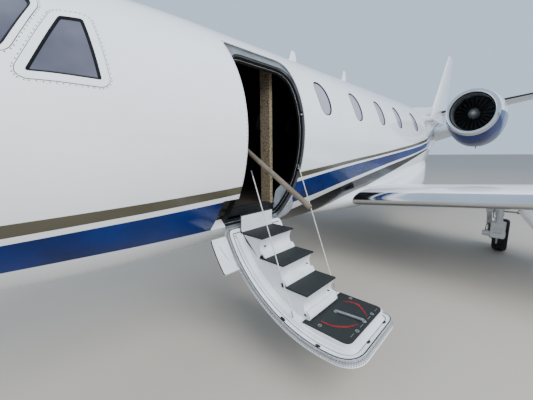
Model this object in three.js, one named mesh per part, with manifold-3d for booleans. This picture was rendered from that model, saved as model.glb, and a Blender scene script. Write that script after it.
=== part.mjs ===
// Twin-engined business jet standing on its gear with its airstair door open.
// Millimetres, +Z up. Stations run aft from the nose tip, and the left side is -Y.
import * as THREE from "three";
import { mergeVertices } from "three/addons/utils/BufferGeometryUtils.js";
import Module from "manifold-3d";

const wasm = await Module();
wasm.setup();

// Driving dimensions
const length = 16000;
const halfSpan = 8585;
const height = 5230;
const doorStation = 4050;
const doorWidth = 667;
const doorForward = doorStation - 45;
const wallThickness = 80;
const panelGap = 6;
const touchGap = 0.4;
const floorTop = 1200;
const wheelTrack = 4540;
const mainWheelStation = doorStation + 4634;
const noseWheelStation = mainWheelStation - 6680;
const mainTyre = { radius: 279.5, width: 203, rim: 160 };
const noseTyre = { radius: 228.5, width: 112, rim: 122 };
const radomeEnd = 640;
const shellStart = 2120;
const shellEnd = 9800;

// Colours
const finishes = {
  paint: { color: 0xe9eaeb, roughness: 0.25, metalness: 0 },
  steel: { color: 0x9a9c9e, roughness: 0.4, metalness: 0.9 },
  dark: { color: 0x2b2b2c, roughness: 0.7, metalness: 0 },
  tread: { color: 0x4a4b4b, roughness: 0.85, metalness: 0 },
  moulded: { color: 0xd9dadb, roughness: 0.5, metalness: 0 },
  shade: { color: 0xb9b7c4, roughness: 0.5, metalness: 0 },
  glass: { color: 0x20262b, roughness: 0.05, metalness: 0 },
  wood: { color: 0x4a2c1a, roughness: 0.4, metalness: 0 },
  fabric: { color: 0xa8997c, roughness: 0.9, metalness: 0 },
  leather: { color: 0x6d6152, roughness: 0.6, metalness: 0 },
  carpet: { color: 0x3a3733, roughness: 0.95, metalness: 0 },
  tyre: { color: 0x1c1c1d, roughness: 0.9, metalness: 0 },
};

const model = new THREE.Group();
model.position.set(-length / 2, 0, 0);
const radians = THREE.MathUtils.degToRad;
const sides = { left: -1, right: 1 };

// Solids: a three.js geometry as a closed solid, and back
function solid(geometry) {
  const bare = geometry.index ? geometry.toNonIndexed() : geometry;
  bare.deleteAttribute("normal");
  bare.deleteAttribute("uv");
  const merged = mergeVertices(bare, 1e-3);
  return new wasm.Manifold(
    new wasm.Mesh({
      numProp: 3,
      vertProperties: merged.attributes.position.array,
      triVerts: new Uint32Array(merged.index.array),
    }),
  );
}

function piece(name, shape, finish) {
  const data = shape.getMesh();
  const geometry = new THREE.BufferGeometry();
  geometry.setAttribute("position", new THREE.BufferAttribute(data.vertProperties, 3));
  geometry.setIndex(new THREE.BufferAttribute(data.triVerts, 1));
  geometry.computeVertexNormals();
  const mesh = new THREE.Mesh(geometry, new THREE.MeshStandardMaterial(finishes[finish]));
  mesh.name = name;
  model.add(mesh);
  return mesh;
}

const joined = (...shapes) => shapes.reduce((whole, next) => whole.add(next));

// A solid with each of its points moved by a function
function reshaped(shape, move) {
  const data = shape.getMesh();
  const positions = new THREE.BufferAttribute(data.vertProperties, 3);
  for (let i = 0; i < positions.count; i++) {
    const moved = move(new THREE.Vector3().fromBufferAttribute(positions, i));
    positions.setXYZ(i, moved.x, moved.y, moved.z);
  }
  return new wasm.Manifold(
    new wasm.Mesh({ numProp: 3, vertProperties: positions.array, triVerts: data.triVerts }),
  );
}

// A closed skin over rings of points, each ring with the same count
function loft(rings) {
  const count = rings[0].length;
  const points = rings.flat();
  const faces = [];
  for (let r = 0; r + 1 < rings.length; r++) {
    for (let i = 0; i < count; i++) {
      const a = r * count + i;
      const b = r * count + ((i + 1) % count);
      faces.push(a, b, b + count, a, b + count, a + count);
    }
  }
  const last = (rings.length - 1) * count;
  for (const [a, b, c] of capFaces(rings[0])) faces.push(a, c, b);
  for (const [a, b, c] of capFaces(rings[0])) faces.push(last + a, last + b, last + c);
  return closed(points, faces);
}

// A cap's triangles, found in the plane that the ring fills most and wound as the ring is
function capFaces(ring) {
  const normal = new THREE.Vector3();
  ring.forEach((p, i) => normal.add(p.clone().cross(ring[(i + 1) % ring.length])));
  const size = normal.toArray().map(Math.abs);
  const drop = size.indexOf(Math.max(...size));
  const [u, v] = [["y", "z"], ["z", "x"], ["x", "y"]][drop];
  const flat = ring.map((p) => new THREE.Vector2(p[u], p[v]));
  const way = Math.sign(THREE.ShapeUtils.area(flat));
  return THREE.ShapeUtils.triangulateShape(flat, []).map(([a, b, c]) => {
    const same = Math.sign(THREE.ShapeUtils.area([flat[a], flat[b], flat[c]])) === way;
    return same ? [a, b, c] : [a, c, b];
  });
}

function closed(points, faces) {
  let volume = 0;
  for (let i = 0; i < faces.length; i += 3) {
    const [a, b, c] = [0, 1, 2].map((k) => points[faces[i + k]]);
    volume += a.dot(b.clone().cross(c));
  }
  if (volume < 0) {
    for (let i = 0; i < faces.length; i += 3) {
      [faces[i], faces[i + 1]] = [faces[i + 1], faces[i]];
    }
  }
  const geometry = new THREE.BufferGeometry().setFromPoints(points);
  geometry.setIndex(faces);
  return solid(geometry);
}

const point = (x, y, z) => new THREE.Vector3(x, y, z);

function box(x0, x1, y0, y1, z0, z1) {
  const geometry = new THREE.BoxGeometry(x1 - x0, Math.abs(y1 - y0), z1 - z0);
  geometry.translate((x0 + x1) / 2, (y0 + y1) / 2, (z0 + z1) / 2);
  return solid(geometry);
}

// A round bar between two points, tapered where its ends differ
function bar(from, to, radius, endRadius = radius, sidesCount = 12) {
  const along = to.clone().sub(from);
  const geometry = new THREE.CylinderGeometry(endRadius, radius, along.length(), sidesCount);
  geometry.translate(0, along.length() / 2, 0);
  const turn = new THREE.Quaternion().setFromUnitVectors(point(0, 1, 0), along.normalize());
  geometry.applyQuaternion(turn);
  geometry.translate(from.x, from.y, from.z);
  return solid(geometry);
}

// A turned piece: profile rows are [distance along the axis, radius], axis along X or Y
function turned(profile, centre, axis = "x", segments = 24) {
  const outline = profile.map(([along, radius]) => new THREE.Vector2(radius, along));
  const geometry = new THREE.LatheGeometry(outline, segments);
  if (axis === "x") geometry.rotateZ(-Math.PI / 2);
  if (axis === "x") geometry.rotateX(Math.PI / 2);
  geometry.translate(centre.x, centre.y, centre.z);
  const bare = geometry.toNonIndexed();
  bare.deleteAttribute("normal");
  bare.deleteAttribute("uv");
  const merged = mergeVertices(bare, 1e-3);
  const points = [];
  for (let i = 0; i < merged.attributes.position.count; i++) {
    points.push(new THREE.Vector3().fromBufferAttribute(merged.attributes.position, i));
  }
  const faces = [];
  const index = merged.index.array;
  for (let i = 0; i < index.length; i += 3) {
    const [a, b, c] = index.slice(i, i + 3);
    if (a !== b && b !== c && c !== a) faces.push(a, b, c);
  }
  return closed(points, faces);
}

// A flat outline of [x, z] corners pushed along Y, with its corners rounded
function pushedAlongY(corners, cornerRadius, y0, y1, curveSegments = 4) {
  const shape = roundedShape(corners, cornerRadius);
  const geometry = new THREE.ExtrudeGeometry(shape, {
    depth: Math.abs(y1 - y0),
    bevelEnabled: false,
    curveSegments,
  });
  geometry.rotateX(Math.PI / 2);
  geometry.translate(0, Math.max(y0, y1), 0);
  return solid(geometry);
}

// A flat outline of [y, z] corners pushed along X
function pushedAlongX(corners, cornerRadius, x0, x1, curveSegments = 3) {
  const shape = roundedShape(corners, cornerRadius);
  const geometry = new THREE.ExtrudeGeometry(shape, { depth: x1 - x0, bevelEnabled: false, curveSegments });
  geometry.rotateY(Math.PI / 2);
  geometry.rotateX(Math.PI / 2);
  geometry.translate(x0, 0, 0);
  return solid(geometry);
}

function roundedShape(corners, radii) {
  const shape = new THREE.Shape();
  corners.forEach(([x, y], i) => {
    const here = new THREE.Vector2(x, y);
    const before = new THREE.Vector2(...corners[(i + corners.length - 1) % corners.length]);
    const after = new THREE.Vector2(...corners[(i + 1) % corners.length]);
    const radius = Array.isArray(radii) ? radii[i] : radii;
    const reach = Math.min(radius, here.distanceTo(before) / 2, here.distanceTo(after) / 2);
    const start = before.sub(here).setLength(reach).add(here);
    const end = after.sub(here).setLength(reach).add(here);
    if (i === 0) shape.moveTo(start.x, start.y);
    else shape.lineTo(start.x, start.y);
    if (radius > 0) shape.quadraticCurveTo(here.x, here.y, end.x, end.y);
  });
  shape.closePath();
  return shape;
}

// Fuselage columns: station, half width, top, bottom, height of the widest point
const fuselageTable = [
  [0, 14, 1602, 1574, 1588],
  [60, 112, 1700, 1482, 1592],
  [200, 222, 1796, 1392, 1600],
  [450, 345, 1903, 1286, 1616],
  [800, 464, 2008, 1182, 1642],
  [1250, 580, 2118, 1078, 1682],
  [1750, 688, 2224, 990, 1734],
  [2150, 764, 2330, 935, 1778],
  [2550, 826, 2560, 893, 1820],
  [2950, 876, 2738, 858, 1856],
  [3400, 912, 2802, 836, 1882],
  [3900, 923, 2816, 829, 1892],
  [9000, 923, 2816, 829, 1892],
  [9400, 880, 2813, 852, 1912],
  [10200, 762, 2802, 1050, 1985],
  [10600, 706, 2796, 1210, 2035],
  [11000, 655, 2790, 1380, 2090],
  [12000, 545, 2780, 1720, 2235],
  [13000, 425, 2772, 2010, 2385],
  [14000, 300, 2764, 2270, 2530],
  [15000, 175, 2752, 2510, 2640],
  [15700, 84, 2735, 2630, 2682],
];

// The table read at any station, with a smooth curve that doesn't overshoot
function atStation(table, station) {
  const last = table.length - 1;
  const x = Math.min(Math.max(station, table[0][0]), table[last][0]);
  let k = 0;
  while (k < last - 1 && x > table[k + 1][0]) k++;
  const span = table[k + 1][0] - table[k][0];
  const t = (x - table[k][0]) / span;
  const slope = (row, column) => {
    if (row === 0 || row === last) {
      const near = row === 0 ? 0 : last - 1;
      return (table[near + 1][column] - table[near][column]) / (table[near + 1][0] - table[near][0]);
    }
    const before = (table[row][column] - table[row - 1][column]) / (table[row][0] - table[row - 1][0]);
    const after = (table[row + 1][column] - table[row][column]) / (table[row + 1][0] - table[row][0]);
    return before * after <= 0 ? 0 : (2 * before * after) / (before + after);
  };
  return table[0].slice(1).map((unused, i) => {
    const column = i + 1;
    const [p, q] = [table[k][column], table[k + 1][column]];
    const [m, n] = [slope(k, column) * span, slope(k + 1, column) * span];
    const [t2, t3] = [t * t, t * t * t];
    return (2 * t3 - 3 * t2 + 1) * p + (t3 - 2 * t2 + t) * m + (3 * t2 - 2 * t3) * q + (t3 - t2) * n;
  });
}

// A point of the fuselage skin: angle in degrees from the top, side -1 left or 1 right
function skinPoint(station, angle, side, depth = 0) {
  const [halfWidth, top, bottom, widest] = atStation(fuselageTable, station);
  const turn = radians(angle);
  const rise = Math.cos(turn) > 0 ? top - widest : widest - bottom;
  const normal = new THREE.Vector2(Math.sin(turn) / halfWidth, Math.cos(turn) / rise).normalize();
  const y = halfWidth * Math.sin(turn) - depth * normal.x;
  const z = widest + rise * Math.cos(turn) - depth * normal.y;
  return point(station, side * y, z);
}

const ringSegments = 36;

function fuselageRing(station, depth) {
  const ring = [];
  for (let i = 0; i < ringSegments; i++) {
    const angle = (360 * i) / ringSegments;
    ring.push(skinPoint(station, angle, 1, depth));
  }
  return ring;
}

function fuselagePart(from, to, depth = 0, spacing = 900) {
  const joints = [radomeEnd, shellStart, shellEnd];
  const inside = [...fuselageTable.map(([station]) => station), ...joints].filter(
    (station) => station > from + 20 && station < to - 20,
  );
  const stations = [from, ...inside.sort((a, b) => a - b), to];
  const rings = [];
  stations.forEach((station, i) => {
    rings.push(fuselageRing(station, depth));
    const next = stations[i + 1];
    const straight = station >= 3900 && next <= 9000;
    if (next && !straight && next - station > spacing * 1.2) {
      rings.push(fuselageRing((station + next) / 2, depth));
    }
  });
  return loft(rings);
}

// A patch of skin between four corners of [station, angle], with the given depths
function skinPatch(corners, side, outerDepth, innerDepth, steps = 4) {
  const grid = [];
  for (let i = 0; i <= steps; i++) {
    for (let j = 0; j <= steps; j++) {
      const [u, v] = [i / steps, j / steps];
      const mix = (k) =>
        (1 - u) * (1 - v) * corners[0][k] +
        u * (1 - v) * corners[1][k] +
        u * v * corners[2][k] +
        (1 - u) * v * corners[3][k];
      grid.push([mix(0), mix(1)]);
    }
  }
  const outer = grid.map(([station, angle]) => skinPoint(station, angle, side, outerDepth));
  const inner = grid.map(([station, angle]) => skinPoint(station, angle, side, innerDepth));
  const row = steps + 1;
  const under = grid.length;
  const faces = [];
  for (let i = 0; i < steps; i++) {
    for (let j = 0; j < steps; j++) {
      const a = i * row + j;
      faces.push(a, a + row, a + row + 1, a, a + row + 1, a + 1);
      faces.push(under + a, under + a + row + 1, under + a + row);
      faces.push(under + a, under + a + 1, under + a + row + 1);
    }
  }
  const edge = [];
  for (let j = 0; j < steps; j++) edge.push(j);
  for (let i = 0; i < steps; i++) edge.push(i * row + steps);
  for (let j = steps; j > 0; j--) edge.push(steps * row + j);
  for (let i = steps; i > 0; i--) edge.push(i * row);
  edge.forEach((a, k) => {
    const b = edge[(k + 1) % edge.length];
    faces.push(a, b, under + b, a, under + b, under + a);
  });
  return closed([...outer, ...inner], faces);
}

// The corners pulled in towards their middle, for a pane in its frame
function pulledIn(corners, share) {
  const middle = [0, 1].map((k) => corners.reduce((sum, c) => sum + c[k], 0) / corners.length);
  return corners.map((corner) => corner.map((value, k) => value + (middle[k] - value) * share));
}

// Fuselage panels. Windscreen and side window corners are [station, angle from the top]
const windscreen = [[2190, 3], [2755, 68], [2868, 57], [2700, 3]];
const sideWindow = [[2812, 76], [3085, 76], [3060, 58], [2962, 59]];
const skinOuter = fuselagePart(shellStart, shellEnd);
const skinInner = fuselagePart(shellStart - 10, shellEnd + 10, wallThickness);
const wholeSkin = fuselagePart(0, 15700, -touchGap);

const door = {
  from: doorForward, to: doorStation + doorWidth, sill: 1060, head: 2470, corners: [60, 60, 150, 150],
};
const doorCorners = (less) => door.corners.map((radius) => radius - less);
const doorOutline = (grow) => [
  [door.from - grow, door.sill - grow],
  [door.to + grow, door.sill - grow],
  [door.to + grow, door.head + grow],
  [door.from - grow, door.head + grow],
];
const doorCut = pushedAlongY(doorOutline(0), doorCorners(0), -1100, -300);

// The apron that runs forward from the door's lower corner, in a shallow recess of the skin
const apron = {
  forward: 150, aft: door.from + 60, lowAngle: 141, highAngle: 120.5, thickness: 8, recess: 15,
};
const apronCorners = (grow, aft) => [
  [door.from - apron.forward - grow, apron.lowAngle + grow / 16],
  [aft, apron.lowAngle + grow / 16],
  [aft, apron.highAngle - grow / 16],
  [door.from - apron.forward - grow, apron.highAngle - grow / 16],
];

// Cabin windows: stations of the five centres, each a rounded opening
const windowCentres = [1094, 1857, 2620, 3382, 4312].map((aft) => doorStation + aft);
const cabinWindow = { width: 232, height: 345, middle: 2257 };

function windowPlug(centre, shrink, y0, y1) {
  const shape = new THREE.Shape();
  const halfWidth = cabinWindow.width / 2 - shrink;
  const halfHeight = cabinWindow.height / 2 - shrink;
  const steps = 14;
  for (let i = 0; i < steps; i++) {
    const turn = (2 * Math.PI * i) / steps;
    const [c, s] = [Math.cos(turn), Math.sin(turn)];
    const x = centre + halfWidth * Math.sign(c) * Math.abs(c) ** 0.8;
    const z = cabinWindow.middle + halfHeight * Math.sign(s) * Math.abs(s) ** 0.8;
    if (i === 0) shape.moveTo(x, z);
    else shape.lineTo(x, z);
  }
  shape.closePath();
  const geometry = new THREE.ExtrudeGeometry(shape, { depth: Math.abs(y1 - y0), bevelEnabled: false });
  geometry.rotateX(Math.PI / 2);
  geometry.translate(0, Math.max(y0, y1), 0);
  return solid(geometry);
}

let shell = skinOuter.subtract(skinInner).subtract(doorCut);
shell = shell.subtract(skinPatch(apronCorners(panelGap, apron.aft + panelGap), -1, -20, apron.recess));
for (const side of Object.values(sides)) {
  shell = shell.subtract(skinPatch(windscreen, side, -60, 200));
  shell = shell.subtract(skinPatch(sideWindow, side, -60, 200));
  for (const centre of windowCentres) {
    shell = shell.subtract(windowPlug(centre, 0, side * 600, side * 1100));
  }
}

// The handrail's pivot block inside the forward door post
const railPivot = { x: doorStation + 55, y: -800, z: 1731 };
const postBlock = joined(
  box(door.from - 60, door.from - 6, -862, -774, railPivot.z - 26, railPivot.z + 26),
  box(door.from - 60, railPivot.x - 24, -826, -774, railPivot.z - 26, railPivot.z + 26),
);
shell = shell.add(postBlock);
piece("cabin_shell", shell, "paint");

for (const [name, side] of Object.entries(sides)) {
  const pane = skinPatch(pulledIn(windscreen, 0.022), side, 3, 25);
  piece(`windshield_${name}`, pane, "glass");
  piece(`cockpit_window_${name}`, skinPatch(pulledIn(sideWindow, 0.05), side, 3, 22), "glass");

  // The shades of one side hang from one trim strip inside the wall
  const strip = box(windowCentres[0] - 190, windowCentres[4] + 190, side * 700, side * 1000, 2050, 2464);
  const behind = fuselagePart(4700, 9000, wallThickness + touchGap);
  const front = fuselagePart(4700, 9000, wallThickness + 12);
  let shades = behind.subtract(front).intersect(strip);
  const plugBand = fuselagePart(4700, 9000, 14).subtract(front);
  for (const centre of windowCentres) {
    shades = shades.add(windowPlug(centre, 2, side * 600, side * 1100).intersect(plugBand));
  }
  piece(`cabin_windows_${name}`, shades, "shade");
}

// Nose: a plain radome, then a section that holds the nose gear well
piece("radome", fuselagePart(0, radomeEnd), "paint");
const well = { from: 1270, to: 2085, half: 170, top: 1330 };
const noseWell = box(well.from, well.to, -well.half, well.half, 700, well.top);
const noseJackPad = bar(point(1100, 0, 1180), point(1100, 0, 1082), 32);
const noseSection = fuselagePart(radomeEnd + touchGap, shellStart - touchGap).subtract(noseWell);
piece("nose_section", noseSection.add(noseJackPad), "paint");

// Tail: a hollow cone that closes behind the cabin
const tailInner = fuselagePart(shellEnd - 10, 14400, 70);
const tailShell = fuselagePart(shellEnd + touchGap, 15700).subtract(tailInner);

// Wings: columns are distance from the centre, leading edge, trailing edge, thickness ratio
const dihedral = Math.tan(radians(4.8));
const wingTable = [
  [600, 6235, 9080, 0.105],
  [958, 6240, 9000, 0.105],
  [2600, 6250, 8640, 0.104],
  [5400, 6290, 8026, 0.102],
  [8260, 6340, 7400, 0.1],
  [8480, 6395, 7330, 0.09],
  [halfSpan, 6520, 7230, 0.06],
];
const wingCamber = 0.01;
const wingIncidence = Math.tan(radians(2.4));
const wingHeight = (y) => 1065 + (y - 958) * dihedral;

// A cambered section with a round nose, as rows of [along the chord, above it]
function airfoil(thickness, camber, count = 8) {
  const half = (x) => {
    const rest = 0.126 * x + 0.3516 * x ** 2 - 0.2843 * x ** 3 + 0.1015 * x ** 4;
    return 5 * thickness * (0.2969 * Math.sqrt(x) - rest);
  };
  const arch = (x) => camber * 4 * x * (1 - x);
  const upper = [];
  const lower = [];
  for (let i = 0; i <= count; i++) {
    const x = 0.5 * (1 - Math.cos((Math.PI * i) / count));
    upper.push([x, arch(x) + half(x)]);
    if (i > 0) lower.push([x, arch(x) - half(x)]);
  }
  return [...upper.reverse(), ...lower];
}

function wingRing([y, leading, trailing, ratio], side, grow = 0) {
  const chord = trailing - leading;
  return airfoil(ratio, wingCamber).map(([along, above]) => {
    const rise = (above - along * wingIncidence) * chord + Math.sign(above) * grow;
    return point(leading + along * chord, side * y, wingHeight(y) + rise);
  });
}

// A control surface turns about a line; its round nose runs in a groove 6 mm wider
function hinged(shape, start, end, up, halfStart, halfEnd, chord) {
  const along = end.clone().sub(start).normalize();
  const aft = along.clone().cross(up).normalize();
  if (aft.x < 0) aft.negate();
  const normal = aft.clone().cross(along).normalize();
  const part = (gap, clearance) => {
    const a = start.clone().addScaledVector(along, gap);
    const b = end.clone().addScaledVector(along, -gap);
    const corner = (base, reach, rise) =>
      base.clone().addScaledVector(aft, reach).addScaledVector(normal, rise);
    const ring = (base) => [
      corner(base, gap, -400), corner(base, chord, -400), corner(base, chord, 400), corner(base, gap, 400),
    ];
    const nose = bar(a, b, halfStart + clearance, halfEnd + clearance, 16);
    return loft([ring(a), ring(b)]).add(nose);
  };
  return { moving: shape.intersect(part(8, -2)), fixed: shape.subtract(part(0, 6)) };
}

// A solid turned about the line from start to end, in degrees
function swung(shape, start, end, angle) {
  const along = end.clone().sub(start).normalize();
  return reshaped(shape, (spot) => spot.sub(start).applyAxisAngle(along, radians(angle)).add(start));
}

const lineAt = (table, y, fraction) => {
  const [leading, trailing] = atStation(table.map(([a, b, c]) => [a, b, c]), y);
  return leading + fraction * (trailing - leading);
};

// Belly fairing: columns are station, half width, bottom, top, power (1 is an ellipse, less is squarer)
const fairingTable = [
  [5300, 200, 850, 960, 1],
  [5700, 420, 830, 1160, 1],
  [6100, 640, 806, 1300, 1],
  [6700, 820, 790, 1340, 1],
  [7600, 880, 785, 1380, 0.95],
  [8300, 925, 780, 1480, 0.8],
  [9000, 930, 795, 1640, 0.62],
  [9400, 868, 815, 1690, 0.6],
  [9800, 770, 860, 1680, 0.62],
  [10300, 560, 980, 1600, 0.75],
];
const powered = (value, power) => Math.sign(value) * Math.abs(value) ** power;
const fairingRings = fairingTable.map(([station, half, bottom, top, power]) => {
  const middle = (top + bottom) / 2;
  const rise = (top - bottom) / 2;
  const ring = [];
  for (let i = 0; i < 24; i++) {
    const turn = (2 * Math.PI * i) / 24;
    const [across, up] = [Math.cos(turn), Math.sin(turn)].map((value) => powered(value, power));
    ring.push(point(station, half * across, middle + rise * up));
  }
  return ring;
});
const fairing = loft(fairingRings);
const fairingGrown = loft(fairingRings.map((ring) => ring.map((p) => {
  const middle = ring.reduce((sum, q) => sum + q.z, 0) / ring.length;
  return point(p.x, p.y + Math.sign(p.y) * touchGap, p.z + Math.sign(p.z - middle) * touchGap);
})));
piece("belly_fairing", fairing.subtract(wholeSkin), "paint");

const flap = { inner: 1010, outer: 4900, chordFraction: 0.8 };
const aileron = { inner: 4930, outer: 7900, chordFraction: 0.76 };

function hingePoint(y, side, fraction) {
  const x = lineAt(wingTable, y, fraction);
  const chord = lineAt(wingTable, y, 1) - lineAt(wingTable, y, 0);
  const rise = wingCamber * 4 * fraction * (1 - fraction) - wingIncidence * fraction;
  return point(x, side * y, wingHeight(y) + rise * chord);
}

const jackPad = { x: 7000, y: 2900, z: 1060 };
const controls = {};
for (const [name, side] of Object.entries(sides)) {
  let wing = loft(wingTable.map((row) => wingRing(row, side)));
  const up = point(0, -side * dihedral, 1).normalize();
  for (const [kind, span, halves] of [["flap", flap, [72, 46]], ["aileron", aileron, [53, 32]]]) {
    const start = hingePoint(span.inner, side, span.chordFraction);
    const end = hingePoint(span.outer, side, span.chordFraction);
    const cut = hinged(wing, start, end, up, halves[0], halves[1], 900);
    wing = cut.fixed;
    piece(`${kind}_${name}`, cut.moving, "paint");
    controls[`${kind}_${name}`] = [start, end];
  }
  const padAt = (z) => point(jackPad.x, side * jackPad.y, z);
  const pad = bar(padAt(1200), padAt(jackPad.z), 32);
  piece(`wing_${name}`, wing.subtract(wholeSkin).subtract(fairingGrown).add(pad), "paint");
}

// Tailplane: columns as the wing's, on a carry-through that crosses the fin's root
const tailplaneTable = [
  [0, 14350, 15750, 0.1],
  [300, 14395, 15744, 0.1],
  [3180, 14880, 15680, 0.09],
  [3275, 14990, 15660, 0.06],
];
const tailDihedral = Math.tan(radians(8.8));
const elevatorDroop = 14;
const tailplaneHeight = (y) => 3090 + y * tailDihedral;
const tailplaneRing = ([y, leading, trailing, ratio], side) =>
  airfoil(ratio, 0, 8).map(([along, above]) => {
    const chord = trailing - leading;
    return point(leading + along * chord, side * y, tailplaneHeight(y) + above * chord);
  });
const tailplaneHalves = Object.values(sides).map((side) =>
  loft(tailplaneTable.map((row) => tailplaneRing(row, side))),
);
let tailplane = joined(...tailplaneHalves);
for (const [name, side] of Object.entries(sides)) {
  const up = point(0, -side * tailDihedral, 1).normalize();
  const spot = (y) => point(lineAt(tailplaneTable, y, 0.68), side * y, tailplaneHeight(y));
  const [start, end] = [spot(300), spot(3120)];
  const cut = hinged(tailplane, start, end, up, 44, 24, 700);
  tailplane = cut.fixed;
  piece(`elevator_${name}`, swung(cut.moving, start, end, side * elevatorDroop), "paint");
  controls[`elevator_${name}`] = [start, end];
}
piece("tailplane", tailplane, "paint");

// Fin with its dorsal fillet: columns are height, leading edge, trailing edge, half thickness
const finTable = [
  [2690, 12700, 15560, 0.085],
  [3100, 13390, 15610, 0.085],
  [3320, 13580, 15640, 0.09],
  [4510, 14590, 15850, 0.09],
  [5100, 15095, 15965, 0.09],
  [5190, 15200, 15990, 0.08],
  [height, 15400, length, 0.04],
];
const finRing = ([z, leading, trailing, ratio]) =>
  airfoil(ratio, 0, 8).map(([along, above]) => {
    const chord = trailing - leading;
    return point(leading + along * chord, above * chord, z);
  });
const dorsalTable = [[2760, 9862, 14200, 62], [2900, 11058, 14200, 46], [3190, 13536, 14200, 26]];
const dorsal = loft(dorsalTable.map(([z, leading, trailing, half]) => [
  point(leading, 0, z), point(leading + 500, half, z), point(trailing, half, z),
  point(trailing, -half, z), point(leading + 500, -half, z),
]));
let fin = joined(loft(finTable.map(finRing)), dorsal);
const rudderSpot = (z) => point(lineAt(finTable, z, 0.7), 0, z);
const [rudderLow, rudderHigh] = [rudderSpot(3560), rudderSpot(5090)];
const finCut = hinged(fin, rudderLow, rudderHigh, point(0, 1, 0), 54, 26, 1200);
fin = finCut.fixed;
piece("rudder", finCut.moving, "paint");
controls.rudder = [rudderLow, rudderHigh];

const tailplaneGrown = joined(...Object.values(sides).map((side) =>
  loft(tailplaneTable.map((row) => tailplaneRing(row, side).map((p) => {
    const middle = point((row[1] + row[2]) / 2, p.y, tailplaneHeight(row[0]));
    return point(middle.x + (p.x - middle.x) * 1.004, p.y, middle.z + (p.z - middle.z) * 1.04);
  }))),
));
piece("fin", fin.subtract(tailplaneGrown).subtract(wholeSkin), "paint");
piece("tail_section", tailShell.subtract(tailplaneGrown), "paint");

// Nacelles, their engines and fans. Profile rows are [distance aft of the lip, radius]
const nacelle = { station: doorStation + 6178, y: 1470, z: 2566 };
const cowlOuter = [[0, 448], [14, 472], [70, 494], [280, 530], [560, 558], [900, 572], [1600, 566],
  [2200, 504], [2760, 408]];
const cowlInner = [[-8, 0], [-8, 438], [0, 428], [14, 415], [90, 400], [300, 390], [900, 425], [2300, 425],
  [2768, 397], [2768, 0]];

// How much deeper than round the lower half is, as [distance aft of the lip, factor]
const cowlSag = [[0, 1], [70, 1.02], [280, 1.14], [560, 1.26], [900, 1.31], [1600, 1.31], [2200, 1.2],
  [2760, 1.06]];

function cowlSolid(centre, grow) {
  const outline = [[0, 0], ...cowlOuter.map(([along, radius]) => [along, radius + grow]), [2760, 0]];
  return reshaped(turned(outline, centre, "x", 32), (spot) => {
    const [factor] = spot.z < centre.z ? atStation(cowlSag, spot.x - centre.x) : [1];
    return spot.setZ(centre.z + (spot.z - centre.z) * factor);
  });
}

const fanStation = 470;
for (const [name, side] of Object.entries(sides)) {
  const centre = point(nacelle.station, side * nacelle.y, nacelle.z);
  const cowl = cowlSolid(centre, 0).subtract(turned(cowlInner, centre, "x", 32));
  const mast = (back, z) => point(centre.x + back, centre.y, z);
  const drain = bar(mast(1400, 1880), mast(1440, 1770), 14, 10, 8);
  piece(`nacelle_${name}`, joined(cowl, drain), "paint");

  const core = [[900, 0], [900, 424.4], [1000, 424.4], [1080, 330], [2300, 300], [2700, 220], [2900, 90],
    [2900, 0]];
  piece(`engine_${name}`, turned(core, centre, "x", 32), "steel");

  const hub = [[-190, 0], [-150, 45], [0, 120], [110, 120], [110, 0]];
  const atFan = point(centre.x + fanStation, centre.y, centre.z);
  let fan = turned(hub, atFan, "x", 20);
  const blades = 16;
  for (let i = 0; i < blades; i++) {
    const blade = new THREE.BoxGeometry(80, 8, 275);
    blade.rotateZ(radians(35));
    blade.translate(55, 0, 240);
    blade.rotateX((2 * Math.PI * i) / blades);
    blade.translate(atFan.x, atFan.y, atFan.z);
    fan = fan.add(solid(blade));
  }
  piece(`fan_${name}`, fan, "steel");

  const solidCowl = cowlSolid(centre, touchGap);
  const pylonTable = [[350, 10750, 12900, 2080, 150], [1150, 10750, 12850, 2330, 165]];
  const pylonRings = pylonTable.map(([y, leading, trailing, z, half]) =>
    airfoil((2 * half) / (trailing - leading), 0, 6).map(([along, above]) => {
      const chord = trailing - leading;
      return point(leading + along * chord, side * y, z + above * chord);
    }),
  );
  piece(`pylon_${name}`, loft(pylonRings).subtract(wholeSkin).subtract(solidCowl), "paint");
}

// Cabin: floor, partition, divider, galley, panel and two seats
const innerSpace = fuselagePart(shellStart - 10, shellEnd + 10, wallThickness + 1);
const floorBox = box(2300, 9780, -1000, 1000, floorTop - 60, floorTop);
const sillNotch = joined(
  box(door.from - 20, door.to + 20, -1000, -420, 900, 1180),
  box(door.from - 20, door.to + 20, -1000, -540, 900, 1300),
);
piece("cabin_floor", floorBox.intersect(innerSpace).subtract(sillNotch), "carpet");

const partitionX = 3780;
const aboveFloor = floorTop + touchGap;
const aisle = box(partitionX - 100, partitionX + 100, -260, 260, aboveFloor - 10, 2560);
const partition = box(partitionX, partitionX + 40, -1000, 1000, aboveFloor, 2900);
piece("cockpit_partition", partition.intersect(innerSpace).subtract(aisle), "wood");

const divider = box(doorStation + 605, doorStation + 645, -540, -415, aboveFloor, 2900);
piece("entry_divider", divider.intersect(innerSpace), "fabric");

const galley = box(door.from + 40, door.to + 60, 420, 1000, aboveFloor, 2600);
piece("galley_cabinet", galley.intersect(innerSpace), "wood");

const panelOutline = [[2330, 1700], [2420, 1700], [2440, 2080], [2330, 2140], [2250, 2080]];
const panel = pushedAlongY(panelOutline, 30, -640, 640);
const panelFoot = box(2330, 2400, -120, 120, aboveFloor, 1750);
piece("instrument_panel", joined(panel, panelFoot).intersect(innerSpace), "dark");

for (const [name, y] of [["pilot_seat", -380], ["copilot_seat", 380]]) {
  const seatSide = [[2980, 1440], [3420, 1440], [3560, 2080], [3500, 2200], [3430, 2190], [3330, 1600],
    [2980, 1590]];
  const cushion = pushedAlongY(seatSide, 40, y - 230, y + 230);
  piece(name, joined(cushion, box(3080, 3380, y - 120, y + 120, aboveFloor, 1460)), "leather");
}

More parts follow.
